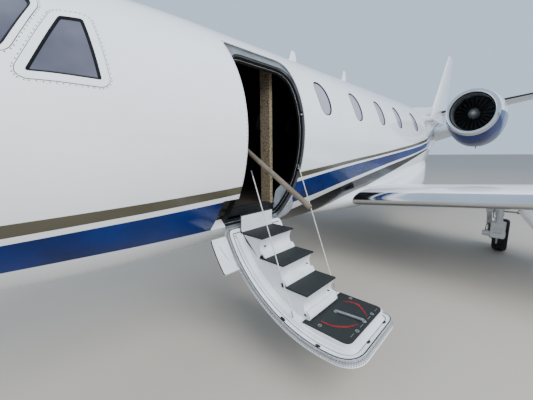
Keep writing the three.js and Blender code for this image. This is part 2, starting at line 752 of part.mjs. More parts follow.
// Landing gear. Each tyre is a turned ring round its wheel
function wheelPair(name, tyre, centre) {
  const half = tyre.width / 2;
  const { radius, rim } = tyre;
  const tyreProfile = [
    [-half * 0.72, rim], [-half, (radius + rim) / 2], [-half * 0.84, radius - 24], [-half * 0.45, radius],
    [half * 0.45, radius], [half * 0.84, radius - 24], [half, (radius + rim) / 2], [half * 0.72, rim],
    [-half * 0.72, rim],
  ];
  piece(`${name}_tyre`, turned(tyreProfile, centre, "y", 28), "tyre");
  const hubProfile = [
    [-half * 0.7, 34], [-half * 0.7, rim - touchGap], [half * 0.7, rim - touchGap], [half * 0.7, 34],
    [-half * 0.7, 34],
  ];
  let hub = turned(hubProfile, centre, "y", 28);
  const dish = (sign) => [
    [sign * half * 0.72, 62], [sign * half * 0.72, rim - 18], [sign * half * 0.45, rim - 34],
    [sign * half * 0.45, 62], [sign * half * 0.72, 62],
  ];
  for (const sign of [-1, 1]) hub = hub.subtract(turned(dish(sign), centre, "y", 16));
  piece(`${name}_wheel`, hub, "moulded");
}

for (const [name, side] of Object.entries(sides)) {
  const wheelY = (side * wheelTrack) / 2;
  const axle = point(mainWheelStation, wheelY, mainTyre.radius);
  wheelPair(`main_${name}`, mainTyre, axle);
  const strutY = side * 2240;
  const armY = side * 2110;
  const knee = { x: 8130, z: 405 };
  const span = (y0, y1, x, z, radius) => bar(point(x, y0, z), point(x, y1, z), radius);
  const pocket = box(8060, 8095, strutY - 50, strutY + 50, 430, 520);
  let leg = joined(
    bar(point(8060, strutY, 1150), point(8125, strutY, 560), 54),
    box(8070, 8190, strutY - 92, strutY + 92, 350, 610).subtract(pocket),
    bar(point(8120, strutY, 360), point(8120, strutY, 255), 14),
    span(side * 2050, side * 2340, knee.x, knee.z, 46),
    bar(point(knee.x, armY, knee.z), point(axle.x, armY, axle.z), 44, 42),
    span(armY - side * 43, side * 2340, axle.x, axle.z, 32),
    span(side * 2064, side * 2156, axle.x, axle.z, 58),
    bar(point(axle.x - 90, armY, axle.z + 60), point(8110, armY, 790), 30, 36),
    span(side * 2070, side * 2250, 8105, 790, 38),
  );
  leg = leg.add(bar(point(8110, strutY, 786), point(8110, side * 2440, 786), 15, 15, 8));
  const ownWing = loft(wingTable.map((row) => wingRing(row, side, touchGap)));
  piece(`main_leg_${name}`, leg.subtract(ownWing), "moulded");

  const doorRing = (x) => [
    point(x, side * 2430, 815), point(x, side * 2480, 830), point(x, side * 2806, 412),
    point(x, side * 2763, 398),
  ];
  const doorArm = bar(point(8085, side * 2455, 815), point(8085, side * 2455, 1170), 14, 14, 8);
  const gearDoor = loft([doorRing(mainWheelStation - 620), doorRing(mainWheelStation - 184)]).add(doorArm);
  piece(`main_gear_door_${name}`, gearDoor.subtract(ownWing), "paint");
}

const noseAxle = point(noseWheelStation, 0, noseTyre.radius);
wheelPair("nose", noseTyre, noseAxle);
const collarZ = 720;
const legTop = point(noseWheelStation - 60, 0, 1300);
const noseLeg = joined(
  bar(point(noseWheelStation, 0, collarZ), point(noseWheelStation, 0, 1300), 48),
  bar(point(noseWheelStation, 0, 900), point(noseWheelStation - 420, 0, 1250), 24),
  bar(point(legTop.x, -168, 1290), point(legTop.x, 168, 1290), 30),
);
piece("nose_leg", noseLeg.subtract(box(0, 4000, -60, 60, 1329, 1400)), "moulded");
const forkHalf = noseTyre.width / 2 + 22;
const fork = joined(
  bar(point(noseWheelStation, 0, 500), point(noseWheelStation, 0, collarZ - 1), 38),
  box(noseWheelStation - 45, noseWheelStation + 45, -forkHalf - 12, forkHalf + 12, 480, 520),
  box(noseWheelStation - 34, noseWheelStation + 34, -forkHalf - 12, -forkHalf + 12, noseAxle.z - 40, 500),
  box(noseWheelStation - 34, noseWheelStation + 34, forkHalf - 12, forkHalf + 12, noseAxle.z - 40, 500),
  bar(point(noseAxle.x, -forkHalf - 40, noseAxle.z), point(noseAxle.x, forkHalf + 40, noseAxle.z), 28),
);
piece("nose_fork", fork, "moulded");
for (const [name, side] of Object.entries(sides)) {
  const y = side * (well.half + 8);
  const doorRing = (x, low) => [
    point(x, y, 1000), point(x, y + side * 10, 1000),
    point(x, y + side * 60, low), point(x, y + side * 50, low),
  ];
  const skinTrim = fuselagePart(radomeEnd, shellStart, -2);
  const panelDoor = loft([doorRing(well.from + 60, 760), doorRing(well.to - 40, 660)]);
  piece(`nose_gear_door_${name}`, panelDoor.subtract(skinTrim), "paint");
}

// Airstair door. It is made closed, in line with the skin, then turned open about its sill
const openAngle = -111;
const skinHalf = atStation(fuselageTable, doorStation);
const sillDrop = skinHalf[3] - door.sill;
const sillY = -skinHalf[0] * Math.sqrt(1 - (sillDrop / (skinHalf[3] - skinHalf[2])) ** 2);
const doorHinge = point(doorStation, sillY, door.sill);

const opened = (shape) => swung(shape, doorHinge, doorHinge.clone().setX(9000), -openAngle);

const doorBlock = pushedAlongY(doorOutline(-panelGap), doorCorners(panelGap), -1100, -300);
const doorWall = (depth) => fuselagePart(3990, 4800).subtract(fuselagePart(3980, 4810, depth));
const doorPanel = doorWall(wallThickness).intersect(doorBlock);
const apronPanel = skinPatch(apronCorners(0, apron.aft), -1, 1, apron.thickness + 1);
const apronTrimmed = apronPanel.subtract(box(0, 9000, -1200, 0, 0, door.sill + panelGap));
piece("entry_door", opened(joined(doorPanel, apronTrimmed)), "paint");

// Steps, as built with the door open. The outline's rows are distance from the centre, height
const stairSide = { from: doorStation + 97.5, to: doorStation + 493 };
const platformSide = { from: doorStation + 45, to: doorStation + 630 };
const stairOutline = [[-640, 1000], [-666, 1028], [-921, 1028], [-905, 857], [-1145, 857], [-1135, 688],
  [-1369, 688], [-1362, 494], [-1722, 494], [-1732, 400], [-900, 400]];
const spaceInside = fuselagePart(3790, 4910, wallThickness + 0.4);
const doorSpace = opened(fuselagePart(3800, 4900, -50).subtract(spaceInside));
const keepInside = opened(box(3800, 5000, -2000, -200, 1070, 2520));
const stairs = pushedAlongX(stairOutline, 12, stairSide.from, stairSide.to);
const platform = pushedAlongX(
  [[-1350, 494], [-1732, 494], [-1732, 380], [-1350, 380]], 20, platformSide.from, platformSide.to,
);
const stairBlock = joined(stairs, platform).subtract(doorSpace).intersect(keepInside);
const mainBlock = stairBlock.decompose().reduce((a, b) => (a.volume() > b.volume() ? a : b));
piece("door_steps", mainBlock, "tread");

// Stay cables from the door posts to the door's sides
const cables = [
  ["door_cable_forward", point(doorStation + 30, -868, 1580), point(doorStation + 30, -1285, 510)],
  ["door_cable_aft", point(doorStation + 640, -868, 1600), point(doorStation + 640, -1285, 510)],
];
for (const [name, from, to] of cables) piece(name, bar(from, to, 5, 5, 8), "moulded");

// Handrail: a bent tube beside the steps, on a pin at the forward post
const railEnd = point(railPivot.x, -1394, 1358);
const railAt = (along) => point(railPivot.x + along, railPivot.y, railPivot.z);
const rail = joined(
  bar(railAt(0), railEnd, 19),
  bar(railAt(-20), railAt(19), 19),
  solid(new THREE.SphereGeometry(19, 12, 6).translate(railEnd.x, railEnd.y, railEnd.z)),
);
piece("door_handrail", rail, "moulded");

export default model;
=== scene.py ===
import bmesh
import bpy
import math
import numpy as np
from mathutils import Matrix, Vector
from mathutils.geometry import delaunay_2d_cdt


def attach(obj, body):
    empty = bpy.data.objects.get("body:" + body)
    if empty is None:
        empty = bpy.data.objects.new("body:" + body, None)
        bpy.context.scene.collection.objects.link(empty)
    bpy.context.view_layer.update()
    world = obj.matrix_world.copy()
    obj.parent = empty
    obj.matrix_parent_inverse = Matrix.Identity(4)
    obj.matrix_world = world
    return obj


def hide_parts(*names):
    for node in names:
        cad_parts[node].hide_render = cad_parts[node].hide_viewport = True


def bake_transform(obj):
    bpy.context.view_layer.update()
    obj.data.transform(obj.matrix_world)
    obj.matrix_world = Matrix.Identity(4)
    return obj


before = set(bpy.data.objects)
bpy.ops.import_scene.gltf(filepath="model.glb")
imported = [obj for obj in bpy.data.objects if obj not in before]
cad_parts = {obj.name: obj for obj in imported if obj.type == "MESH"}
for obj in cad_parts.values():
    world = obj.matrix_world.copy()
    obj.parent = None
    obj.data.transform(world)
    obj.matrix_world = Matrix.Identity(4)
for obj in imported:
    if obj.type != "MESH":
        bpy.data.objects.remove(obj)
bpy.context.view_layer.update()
print("frame loaded")

# Camera, fitted to the door frame, windows, wheels and fin of the photograph
camera = {
    "spot": (-5.380, -2.396, 1.712), "yaw": 0.7529, "pitch": 0.172, "roll": -0.0106,
    "focalPixels": 270.36, "imageWidth": 533, "sensor": 36.0,
}


def placeCamera(c):
    level = math.cos(c["pitch"])
    ahead = Vector((math.cos(c["yaw"]) * level, math.sin(c["yaw"]) * level, -math.sin(c["pitch"])))
    right = ahead.cross(Vector((0, 0, 1))).normalized()
    up = right.cross(ahead)
    turn = c["roll"]
    rightRolled = right * math.cos(turn) + up * math.sin(turn)
    upRolled = up * math.cos(turn) - right * math.sin(turn)
    lens = bpy.data.cameras.new("camera")
    lens.sensor_fit = "HORIZONTAL"
    lens.sensor_width = c["sensor"]
    lens.lens = c["sensor"] * c["focalPixels"] / c["imageWidth"]
    lens.clip_end = 500
    item = bpy.data.objects.new("camera", lens)
    bpy.context.scene.collection.objects.link(item)
    item.matrix_world = Matrix((
        (rightRolled.x, upRolled.x, -ahead.x, c["spot"][0]),
        (rightRolled.y, upRolled.y, -ahead.y, c["spot"][1]),
        (rightRolled.z, upRolled.z, -ahead.z, c["spot"][2]),
        (0, 0, 0, 1),
    ))
    bpy.context.scene.camera = item


placeCamera(camera)


# Shader maths: a wire is a socket that can be added, multiplied and divided
class Wire:
    def __init__(self, finish, socket):
        self.finish, self.socket = finish, socket

    def join(self, operation, other, swap=False):
        pair = (other, self) if swap else (self, other)
        return self.finish.node("ShaderNodeMath", {"operation": operation}, dict(enumerate(pair)))

    def __add__(self, other):
        return self.join("ADD", other)

    def __sub__(self, other):
        return self.join("SUBTRACT", other)

    def __rsub__(self, other):
        return self.join("SUBTRACT", other, True)

    def __mul__(self, other):
        return self.join("MULTIPLY", other)

    def __truediv__(self, other):
        return self.join("DIVIDE", other)

    def __mod__(self, other):
        return self.join("MODULO", other)

    __radd__ = __add__
    __rmul__ = __mul__


def tint(code):
    parts = [int(code[i:i + 2], 16) / 255 for i in (0, 2, 4)]
    return [p / 12.92 if p <= 0.04045 else ((p + 0.055) / 1.055) ** 2.4 for p in parts] + [1.0]


class Finish:
    def __init__(self, name, sockets):
        self.material = bpy.data.materials.new(name)
        self.material.use_nodes = True
        self.tree = self.material.node_tree
        self.shader = self.tree.nodes["Principled BSDF"]
        self.fill(self.shader, sockets)

    def fill(self, node, sockets):
        for key, value in sockets.items():
            if isinstance(value, Wire):
                self.tree.links.new(value.socket, node.inputs[key])
            else:
                node.inputs[key].default_value = value

    def node(self, kind, settings, sockets, out=0):
        node = self.tree.nodes.new(kind)
        for key, value in settings.items():
            setattr(node, key, value)
        self.fill(node, sockets)
        return Wire(self, node.outputs[out])

    def spot(self, stretch=(1, 1, 1)):
        place = self.node("ShaderNodeTexCoord", {}, {}, "Object")
        return self.node("ShaderNodeMapping", {}, {"Vector": place, "Scale": stretch})

    def part(self, axis):
        return self.node("ShaderNodeSeparateXYZ", {}, {0: self.spot()}, axis)

    def noise(self, scale, detail=3.0, stretch=(1, 1, 1)):
        place = self.spot(stretch)
        return self.node("ShaderNodeTexNoise", {}, {"Vector": place, "Scale": scale, "Detail": detail})

    def mix(self, mask, a, b):
        return self.node("ShaderNodeMix", {"data_type": "RGBA"}, {0: mask, 6: a, 7: b}, 2)

    def bump(self, height, distance, strength=1.0):
        return self.node("ShaderNodeBump", {}, {"Strength": strength, "Distance": distance, "Height": height})


def soften(finish, wire, low, high):
    return finish.node("ShaderNodeMapRange", {"clamp": True}, {0: wire, 1: low, 2: high, 3: 0.0, 4: 1.0})


# Plain finishes: light and deep colour, roughness from and to, metal, coat, patch scale, grain scale, grain mm
plainFinishes = {
    "whitePaint": ("f1f4f6", "eaedef", 0.10, 0.17, 0.0, 0.6, 1.3, 260, 0.004),
    "tanPaint": ("5c5748", "524e40", 0.2, 0.28, 0.2, 0.2, 2.0, 900, 0.004),
    # the blue's lighter patches are partly painted reflection of clouds, partly random tone
    "bluePaint": ("042a72", "031d55", 0.14, 0.22, 0.1, 0.12, 3.0, 900, 0.003),
    "blackPaint": ("0a0a0d", "060608", 0.12, 0.18, 0.0, 0.1, 2.0, 500, 0.003),
    "sealRubber": ("121314", "0a0a0b", 0.55, 0.7, 0.0, 0.0, 30, 400, 0.05),
    "greyMetal": ("a6a9ab", "8f9294", 0.35, 0.5, 0.7, 0.0, 12, 300, 0.02),
    "darkMetal": ("3c3d3f", "2a2b2c", 0.35, 0.5, 0.8, 0.0, 14, 400, 0.02),
    "hotMetal": ("6d6257", "4c443d", 0.3, 0.45, 0.9, 0.0, 9, 200, 0.03),
    "gearPaint": ("d9dbdc", "c7c9ca", 0.3, 0.45, 0.0, 0.2, 10, 240, 0.02),
    "stepWhite": ("e6e8ea", "d9dcdf", 0.28, 0.4, 0.0, 0.2, 9, 300, 0.02),
    "lining": ("2a2622", "1d1a17", 0.6, 0.8, 0.0, 0.0, 8, 500, 0.05),
    "cordWhite": ("d8d7d0", "b9b8b0", 0.5, 0.65, 0.0, 0.0, 60, 900, 0.03),
    "railTan": ("6f6557", "5e5548", 0.4, 0.5, 0.0, 0.0, 16, 500, 0.02),
    "bootBlack": ("17181a", "0e0f10", 0.35, 0.5, 0.0, 0.1, 8, 300, 0.02),
    "lampGlass": ("dfe6ea", "cfd6da", 0.05, 0.08, 0.0, 1.0, 8, 200, 0.002),
    "carpet": ("3c3833", "2b2824", 0.9, 1.0, 0.0, 0.0, 40, 900, 0.6),
    "panelDark": ("1d1e20", "141516", 0.45, 0.6, 0.0, 0.0, 12, 600, 0.03),
}
softShine = {"tanPaint": 0.3, "bluePaint": 0.2, "blackPaint": 0.15}
finish = {}


def makePlainFinish(name, row):
    light, deep, low, high, metal, coat, patch, grain, depth = row
    shine = softShine.get(name, 0.5)
    f = Finish(name, {"Metallic": metal, "Coat Weight": coat, "Coat Roughness": 0.03,
                      "Specular IOR Level": shine})
    patches = f.noise(patch, 4.0)
    fine = f.noise(grain, 2.0)
    f.fill(f.shader, {
        "Base Color": f.mix(soften(f, patches, 0.35, 0.65), tint(light), tint(deep)),
        "Roughness": soften(f, patches, 0.3, 0.7) * (high - low) + low,
        "Normal": f.bump(fine, depth / 1000, 0.6),
    })
    finish[name] = f.material


for finishName, finishRow in plainFinishes.items():
    makePlainFinish(finishName, finishRow)

# Polished metal with fine lines along the span
polishedSettings = {"light": "dfe2e4", "deep": "c3c7ca", "rough": (0.10, 0.2), "lines": (4, 220, 220)}


def makePolished(name, c):
    f = Finish(name, {"Metallic": 1.0})
    lines = f.noise(6.0, 3.0, c["lines"])
    cloud = f.noise(2.5, 3.0)
    low, high = c["rough"]
    f.fill(f.shader, {
        "Base Color": f.mix(cloud, tint(c["light"]), tint(c["deep"])),
        "Roughness": soften(f, lines, 0.3, 0.7) * (high - low) + low,
        "Normal": f.bump(lines, 0.00002, 0.4),
    })
    finish[name] = f.material


makePolished("polished", polishedSettings)

# Ribbed rubber of the step mats: ribs run across the step
treadSettings = {"light": "4d5150", "deep": "343837", "pitch": 0.0125, "ribDepth": 0.0015}


def makeTread(name, c, axis):
    f = Finish(name, {"Specular IOR Level": 0.35})
    saw = (f.part(axis) / c["pitch"]) % 1.0
    rib = soften(f, saw, 0.25, 0.4) - soften(f, saw, 0.8, 0.95)
    dust = f.noise(40, 5.0)
    grain = f.noise(900, 2.0)
    shade = f.mix(soften(f, dust, 0.3, 0.75), tint(c["deep"]), tint(c["light"]))
    f.fill(f.shader, {
        # the grooves between ribs take the dark colour 1f2221: painted shade in the grooves
        "Base Color": f.mix(rib * 0.55 + 0.2, tint("1f2221"), shade),
        "Roughness": dust * 0.2 + 0.62,
        "Normal": f.bump(rib + grain * 0.15, c["ribDepth"], 0.8),
    })
    finish[name] = f.material


makeTread("tread", treadSettings, 0)

# Nearly opaque glass whose grey colour is painted shade, standing for the dim cabin behind it
glassPaintedShade = {"tone": "63636f", "deep": "41424f"}


def makeGlass(name, c, clear):
    f = Finish(name, {"Roughness": 0.08, "Coat Weight": 0.5, "Coat Roughness": 0.05, "IOR": 1.5})
    cloud = f.noise(2.2, 4.0)
    f.fill(f.shader, {
        "Base Color": f.mix(soften(f, cloud, 0.35, 0.65), tint(c["tone"]), tint(c["deep"])),
        "Alpha": cloud * 0.06 + clear,
    })
    finish[name] = f.material


makeGlass("cockpitGlass", glassPaintedShade, 0.93)

# Pleated shades behind the cabin windows
shadeSettings = {"light": "a9a8b4", "deep": "8d8c99", "pleat": 0.019}


def makeShade(name, c):
    f = Finish(name, {"Roughness": 0.35, "Coat Weight": 0.8, "Coat Roughness": 0.04})
    wave = (f.part(2) / c["pleat"]) % 1.0
    pleat = soften(f, wave, 0.0, 0.5) - soften(f, wave, 0.5, 1.0)
    cloud = f.noise(5, 3.0)
    f.fill(f.shader, {
        # the colour rises and falls across each pleat: painted light and shade on the folds, over random tone
        "Base Color": f.mix(cloud * 0.6 + pleat * 0.25, tint(c["deep"]), tint(c["light"])),
        "Normal": f.bump(pleat, 0.0008, 0.5),
    })
    finish[name] = f.material


makeShade("shade", shadeSettings)

# Tan cloth with a scattered leaf-like weave
clothSettings = {"ground": "8f8064", "mark": "5d4f3b", "pale": "a6977b"}


def makeCloth(name, c):
    f = Finish(name, {"Roughness": 0.85, "Sheen Weight": 0.25})
    bend = f.noise(30, 2.0)
    cells = f.node("ShaderNodeTexVoronoi", {"feature": "DISTANCE_TO_EDGE"}, {"Vector": f.spot(), "Scale": 42.0})
    marks = soften(f, cells + bend * 0.12, 0.10, 0.22)
    weave = f.noise(900, 2.0)
    ground = f.mix(f.noise(25, 4.0), tint(c["ground"]), tint(c["pale"]))
    f.fill(f.shader, {
        "Base Color": f.mix(marks, tint(c["mark"]), ground),
        "Normal": f.bump(marks * 0.6 + weave * 0.5, 0.0012, 0.7),
    })
    finish[name] = f.material


makeCloth("cloth", clothSettings)

# Dark burl wood
woodSettings = {"light": "6a3a1c", "deep": "2c150a"}


def makeWood(name, c):
    f = Finish(name, {"Roughness": 0.18, "Coat Weight": 0.8})
    swirl = f.noise(7, 6.0, (1, 1, 4))
    grain = f.noise(60, 4.0, (1, 1, 8))
    f.fill(f.shader, {
        "Base Color": f.mix(soften(f, swirl * 0.7 + grain * 0.3, 0.3, 0.7), tint(c["deep"]), tint(c["light"])),
        "Normal": f.bump(grain, 0.0001, 0.3),
    })
    finish[name] = f.material


makeWood("wood", woodSettings)

# Leather of the seats
leatherSettings = {"light": "7a6a55", "deep": "5f5242"}


def makeLeather(name, c):
    f = Finish(name, {"Roughness": 0.5})
    grain = f.node("ShaderNodeTexVoronoi", {"feature": "F1"}, {"Vector": f.spot(), "Scale": 350.0})
    wear = f.noise(9, 4.0)
    f.fill(f.shader, {
        "Base Color": f.mix(wear, tint(c["deep"]), tint(c["light"])),
        "Normal": f.bump(grain, 0.0006, 0.5),
    })
    finish[name] = f.material


makeLeather("leather", leatherSettings)

# Tyre rubber with patches of dust
tyreSettings = {"light": "2c2c2d", "deep": "161617", "dust": "5a5650"}


def makeTyreRubber(name, c):
    f = Finish(name, {"Specular IOR Level": 0.3})
    dust = f.noise(14, 5.0)
    grain = f.noise(260, 3.0)
    rubber = f.mix(f.noise(35, 3.0), tint(c["deep"]), tint(c["light"]))
    f.fill(f.shader, {
        "Base Color": f.mix(soften(f, dust, 0.55, 0.85) * 0.5, rubber, tint(c["dust"])),
        "Roughness": dust * 0.25 + 0.65,
        "Normal": f.bump(grain, 0.0006, 0.6),
    })
    finish[name] = f.material


makeTyreRubber("tyreRubber", tyreSettings)
print("finishes made")


# Shapes are made in millimetres, by station aft of the nose tip, then moved to the frame
halfLength = 8.0
bothSides = ((-1, "left"), (1, "right"))


def circle(count):
    return np.linspace(0, 2 * math.pi, count, endpoint=False)


class Shape:
    def __init__(self):
        self.points, self.faces, self.tones = [], [], []

    def add(self, points, faces, tone=0):
        base = len(self.points)
        self.points.extend(np.asarray(points, float).reshape(-1, 3).tolist())
        self.faces.extend([tuple(int(i) + base for i in face) for face in faces])
        self.tones.extend(tone if isinstance(tone, list) else [tone] * len(faces))
        return self

    def rings(self, rings, tone=0, caps=True, loop=False):
        rings = np.asarray(rings, float)
        rows, count = rings.shape[:2]
        toneOf = tone if callable(tone) else lambda r, i: tone
        faces, tones = [], []
        for r in range(rows if loop else rows - 1):
            following = (r + 1) % rows
            for i in range(count):
                j = (i + 1) % count
                faces.append((r * count + i, r * count + j, following * count + j, following * count + i))
                tones.append(toneOf(r, i))
        if caps and not loop:
            faces.append(tuple(range(count)))
            faces.append(tuple(range((rows - 1) * count, rows * count)))
            tones += [toneOf(0, 0), toneOf(rows - 2, 0)]
        return self.add(rings, faces, tones)

    def tube(self, path, radius, tone=0, sides=16, loop=False):
        path = np.asarray(path, float)
        radii = np.broadcast_to(np.asarray(radius, float), (len(path),))
        if loop:
            along = np.roll(path, -1, 0) - np.roll(path, 1, 0)
        else:
            along = np.gradient(path, axis=0)
        along /= np.linalg.norm(along, axis=1, keepdims=True)
        side = np.cross(along[0], (0.31, 0.17, 0.93))
        rings = []
        for here, ahead, r in zip(path, along, radii):
            side = side - ahead * side.dot(ahead)
            side /= np.linalg.norm(side)
            up = np.cross(ahead, side)
            turns = circle(sides)
            rings.append(here + r * (np.outer(np.cos(turns), side) + np.outer(np.sin(turns), up)))
        return self.rings(rings, tone, loop=loop)

    def turned(self, profile, centre, axis="x", segments=64, tone=0):
        turns = circle(segments)
        rings = []
        for along, radius in profile:
            c, s = radius * np.cos(turns), radius * np.sin(turns)
            flat = np.full(segments, float(along))
            ring = {"x": (flat, c, s), "y": (c, flat, s), "z": (c, s, flat)}[axis]
            rings.append(np.stack(ring, 1) + np.asarray(centre, float))
        closedLoop = profile[0] == profile[-1]
        return self.rings(rings[:-1] if closedLoop else rings, tone, loop=closedLoop)

    def bar(self, start, end, radius, endRadius=None, tone=0, sides=24):
        return self.tube([start, end], [radius, radius if endRadius is None else endRadius], tone, sides)

    def block(self, low, high, tone=0, bevel=0.0):
        (x0, y0, z0), (x1, y1, z1) = low, high
        b = bevel
        rings = []
        for z, inset in ((z0, b), (z0 + b, 0), (z1 - b, 0), (z1, b)):
            c = b if inset == 0 else 2 * b
            rings.append([
                (x0 + c, y0 + inset, z), (x1 - c, y0 + inset, z), (x1 - inset, y0 + c, z), (x1 - inset, y1 - c, z),
                (x1 - c, y1 - inset, z), (x0 + c, y1 - inset, z), (x0 + inset, y1 - c, z), (x0 + inset, y0 + c, z),
            ])
        return self.rings(rings, tone)

    def pushed(self, outline, x0, x1, tone=0):
        ring = np.asarray(outline, float)
        rings = [np.column_stack([np.full(len(ring), x), ring]) for x in (x0, x1)]
        return self.rings(rings, tone)

    def moved(self, move):
        self.points = move(np.asarray(self.points, float)).tolist()
        return self

    def make(self, name, finishes, body="airframe", slot="paint", replaces=(), smooth=38, outward=True,
             normals=None):
        points = np.asarray(self.points, float) / 1000
        points[:, 0] -= halfLength
        mesh = bpy.data.meshes.new(name)
        mesh.from_pydata(points.tolist(), [], self.faces)
        for key in finishes:
            mesh.materials.append(finish[key])
        mesh.polygons.foreach_set("material_index", self.tones)
        mesh.polygons.foreach_set("use_smooth", [True] * len(self.faces))
        if outward:
            shell = bmesh.new()
            shell.from_mesh(mesh)
            bmesh.ops.remove_doubles(shell, verts=shell.verts, dist=1e-6)
            bmesh.ops.dissolve_degenerate(shell, edges=shell.edges, dist=1e-7)
            bmesh.ops.recalc_face_normals(shell, faces=shell.faces)
            shell.to_mesh(mesh)
            shell.free()
        mesh.set_sharp_from_angle(angle=math.radians(smooth))
        if normals is not None:
            mesh.normals_split_custom_set(normals)
        item = bpy.data.objects.new(name, mesh)
        bpy.context.scene.collection.objects.link(item)
        if body:
            finishPiece(item, body, replaces)
        return item


def finishPiece(item, body, replaces=()):
    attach(item, body)
    if replaces:
        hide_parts(*replaces)


# The mesh takes on what its modifiers make
def bake(item):
    graph = bpy.context.evaluated_depsgraph_get()
    result = bpy.data.meshes.new_from_object(item.evaluated_get(graph))
    item.modifiers.clear()
    item.data = result


def carve(item, cutter, operation="DIFFERENCE"):
    cut = item.modifiers.new("cut", "BOOLEAN")
    cut.object = cutter
    cut.operation = operation
    cut.solver = "EXACT"
    bake(item)
    item.data.set_sharp_from_angle(angle=math.radians(32))


# Rows of a table at the given places, on smooth curves that never overshoot a row
def readTable(table, place):
    t = np.asarray(table, float)
    x = np.clip(np.asarray(place, float), t[0, 0], t[-1, 0])
    k = np.clip(np.searchsorted(t[:, 0], x, side="left") - 1, 0, len(t) - 2)
    step = np.diff(t[:, 0])
    rise = np.diff(t[:, 1:], axis=0) / step[:, None]
    slope = np.zeros_like(t[:, 1:])
    slope[0], slope[-1] = rise[0], rise[-1]
    both = rise[:-1] * rise[1:]
    total = np.where(both > 0, rise[:-1] + rise[1:], 1)
    slope[1:-1] = np.where(both > 0, 2 * both / total, 0)
    u = ((x - t[k, 0]) / step[k])[..., None]
    m, n = slope[k] * step[k][..., None], slope[k + 1] * step[k][..., None]
    p, q = t[k, 1:], t[k + 1, 1:]
    u2, u3 = u * u, u * u * u
    return (2 * u3 - 3 * u2 + 1) * p + (u3 - 2 * u2 + u) * m + (3 * u2 - 2 * u3) * q + (u3 - u2) * n


# Fuselage: station, half width, top, bottom, height of the widest point
fuselage = {
    "sections": [
        (0, 14, 1602, 1574, 1588), (60, 112, 1700, 1482, 1592), (200, 222, 1796, 1392, 1600),
        (450, 345, 1903, 1286, 1616), (800, 464, 2008, 1182, 1642), (1250, 580, 2118, 1078, 1682),
        (1750, 688, 2224, 990, 1734), (2150, 764, 2330, 935, 1778), (2550, 826, 2560, 893, 1820),
        (2950, 876, 2738, 858, 1856), (3400, 912, 2802, 836, 1882), (3900, 923, 2816, 829, 1892),
        (9000, 923, 2816, 829, 1892), (9400, 880, 2813, 852, 1912), (10200, 762, 2802, 1050, 1985),
        (10600, 706, 2796, 1210, 2035), (11000, 655, 2790, 1380, 2090), (12000, 545, 2780, 1720, 2235),
        (13000, 425, 2772, 2010, 2385), (14000, 300, 2764, 2270, 2530), (15000, 175, 2752, 2510, 2640),
        (15700, 84, 2735, 2630, 2682),
    ],
    "breaks": [0, 640, 2120, 9800, 15700], "joint": 1.5,
    "doorFrom": 4005, "doorTo": 4717, "sill": 1060, "head": 2470, "corners": (60, 60, 150, 150),
    "surround": 2545, "surroundCorners": (60, 60, 105, 40), "wall": 80, "perDegree": 16.0,
}


def skinAt(station, angle, depth=0.0):
    half, top, bottom, widest = np.moveaxis(readTable(fuselage["sections"], station), -1, 0)
    turn = np.radians(np.asarray(angle, float))
    rise = np.where(np.cos(turn) > 0, top - widest, widest - bottom)
    ny, nz = np.sin(turn) / half, np.cos(turn) / rise
    size = np.hypot(ny, nz)
    y = half * np.sin(turn) - depth * ny / size
    z = widest + rise * np.cos(turn) - depth * nz / size
    return np.stack(np.broadcast_arrays(np.asarray(station, float), y, z), -1)


def skinNormal(station, angle):
    ahead = skinAt(np.asarray(station) + 2.0, angle) - skinAt(np.asarray(station) - 2.0, angle)
    around = skinAt(station, np.asarray(angle) + 0.2) - skinAt(station, np.asarray(angle) - 0.2)
    normal = np.cross(ahead, around)
    normal /= np.linalg.norm(normal, axis=-1, keepdims=True)
    middle = skinAt(station, np.zeros_like(angle)) + skinAt(station, np.full_like(angle, 180.0))
    outward = skinAt(station, angle) - middle / 2
    return normal * np.sign(np.sum(normal * outward, -1, keepdims=True))


# Angle from the top at which the skin of one side has this height
def angleAt(station, z, side=-1):
    half, top, bottom, widest = np.moveaxis(readTable(fuselage["sections"], station), -1, 0)
    z = np.asarray(z, float)
    cosine = np.where(z > widest, (z - widest) / (top - widest), (z - widest) / (widest - bottom))
    return side * np.degrees(np.arccos(np.clip(cosine, -1, 1)))


def roundedLoop(corners, radius, steps=8):
    corners = [np.asarray(c, float) for c in corners]
    loop = []
    for i, here in enumerate(corners):
        before, after = corners[i - 1], corners[(i + 1) % len(corners)]
        a, b = before - here, after - here
        r = radius[i] if isinstance(radius, (list, tuple)) else radius
        reach = min(r, np.linalg.norm(a) / 2.01, np.linalg.norm(b) / 2.01)
        start = here + a / np.linalg.norm(a) * reach
        end = here + b / np.linalg.norm(b) * reach
        for t in np.linspace(0, 1, steps):
            loop.append((1 - t) ** 2 * start + 2 * t * (1 - t) * here + t * t * end)
    return np.array(loop)


# More points along a loop or line, none further apart than the given step
def dense(line, step, loop=True):
    line = np.asarray(line, float)
    ends = np.roll(line, -1, 0) if loop else line[1:]
    out = []
    for a, b in zip(line if loop else line[:-1], ends):
        count = max(1, int(np.ceil(np.linalg.norm(b - a) / step)))
        out.extend(a + (b - a) * t for t in np.arange(count) / count)
    if not loop:
        out.append(line[-1])
    return np.array(out)


# Loops on the skin are kept as columns of station and of angle times perDegree
def onPlane(stationHeight, side=-1):
    s, z = np.asarray(stationHeight, float).T
    return np.column_stack([s, angleAt(s, z, side) * fuselage["perDegree"]])


def fromPlane(flat, depth=0.0):
    flat = np.asarray(flat, float)
    return skinAt(flat[:, 0], flat[:, 1] / fuselage["perDegree"], depth)


def doorLoop(grow):
    f = fuselage
    x0, x1 = f["doorFrom"] - grow, f["doorTo"] + grow
    z0, z1 = f["sill"] - grow, f["head"] + grow
    corners = [(x0, z0), (x1, z0), (x1, z1), (x0, z1)]
    return onPlane(dense(roundedLoop(corners, [radius + grow for radius in f["corners"]]), 30))


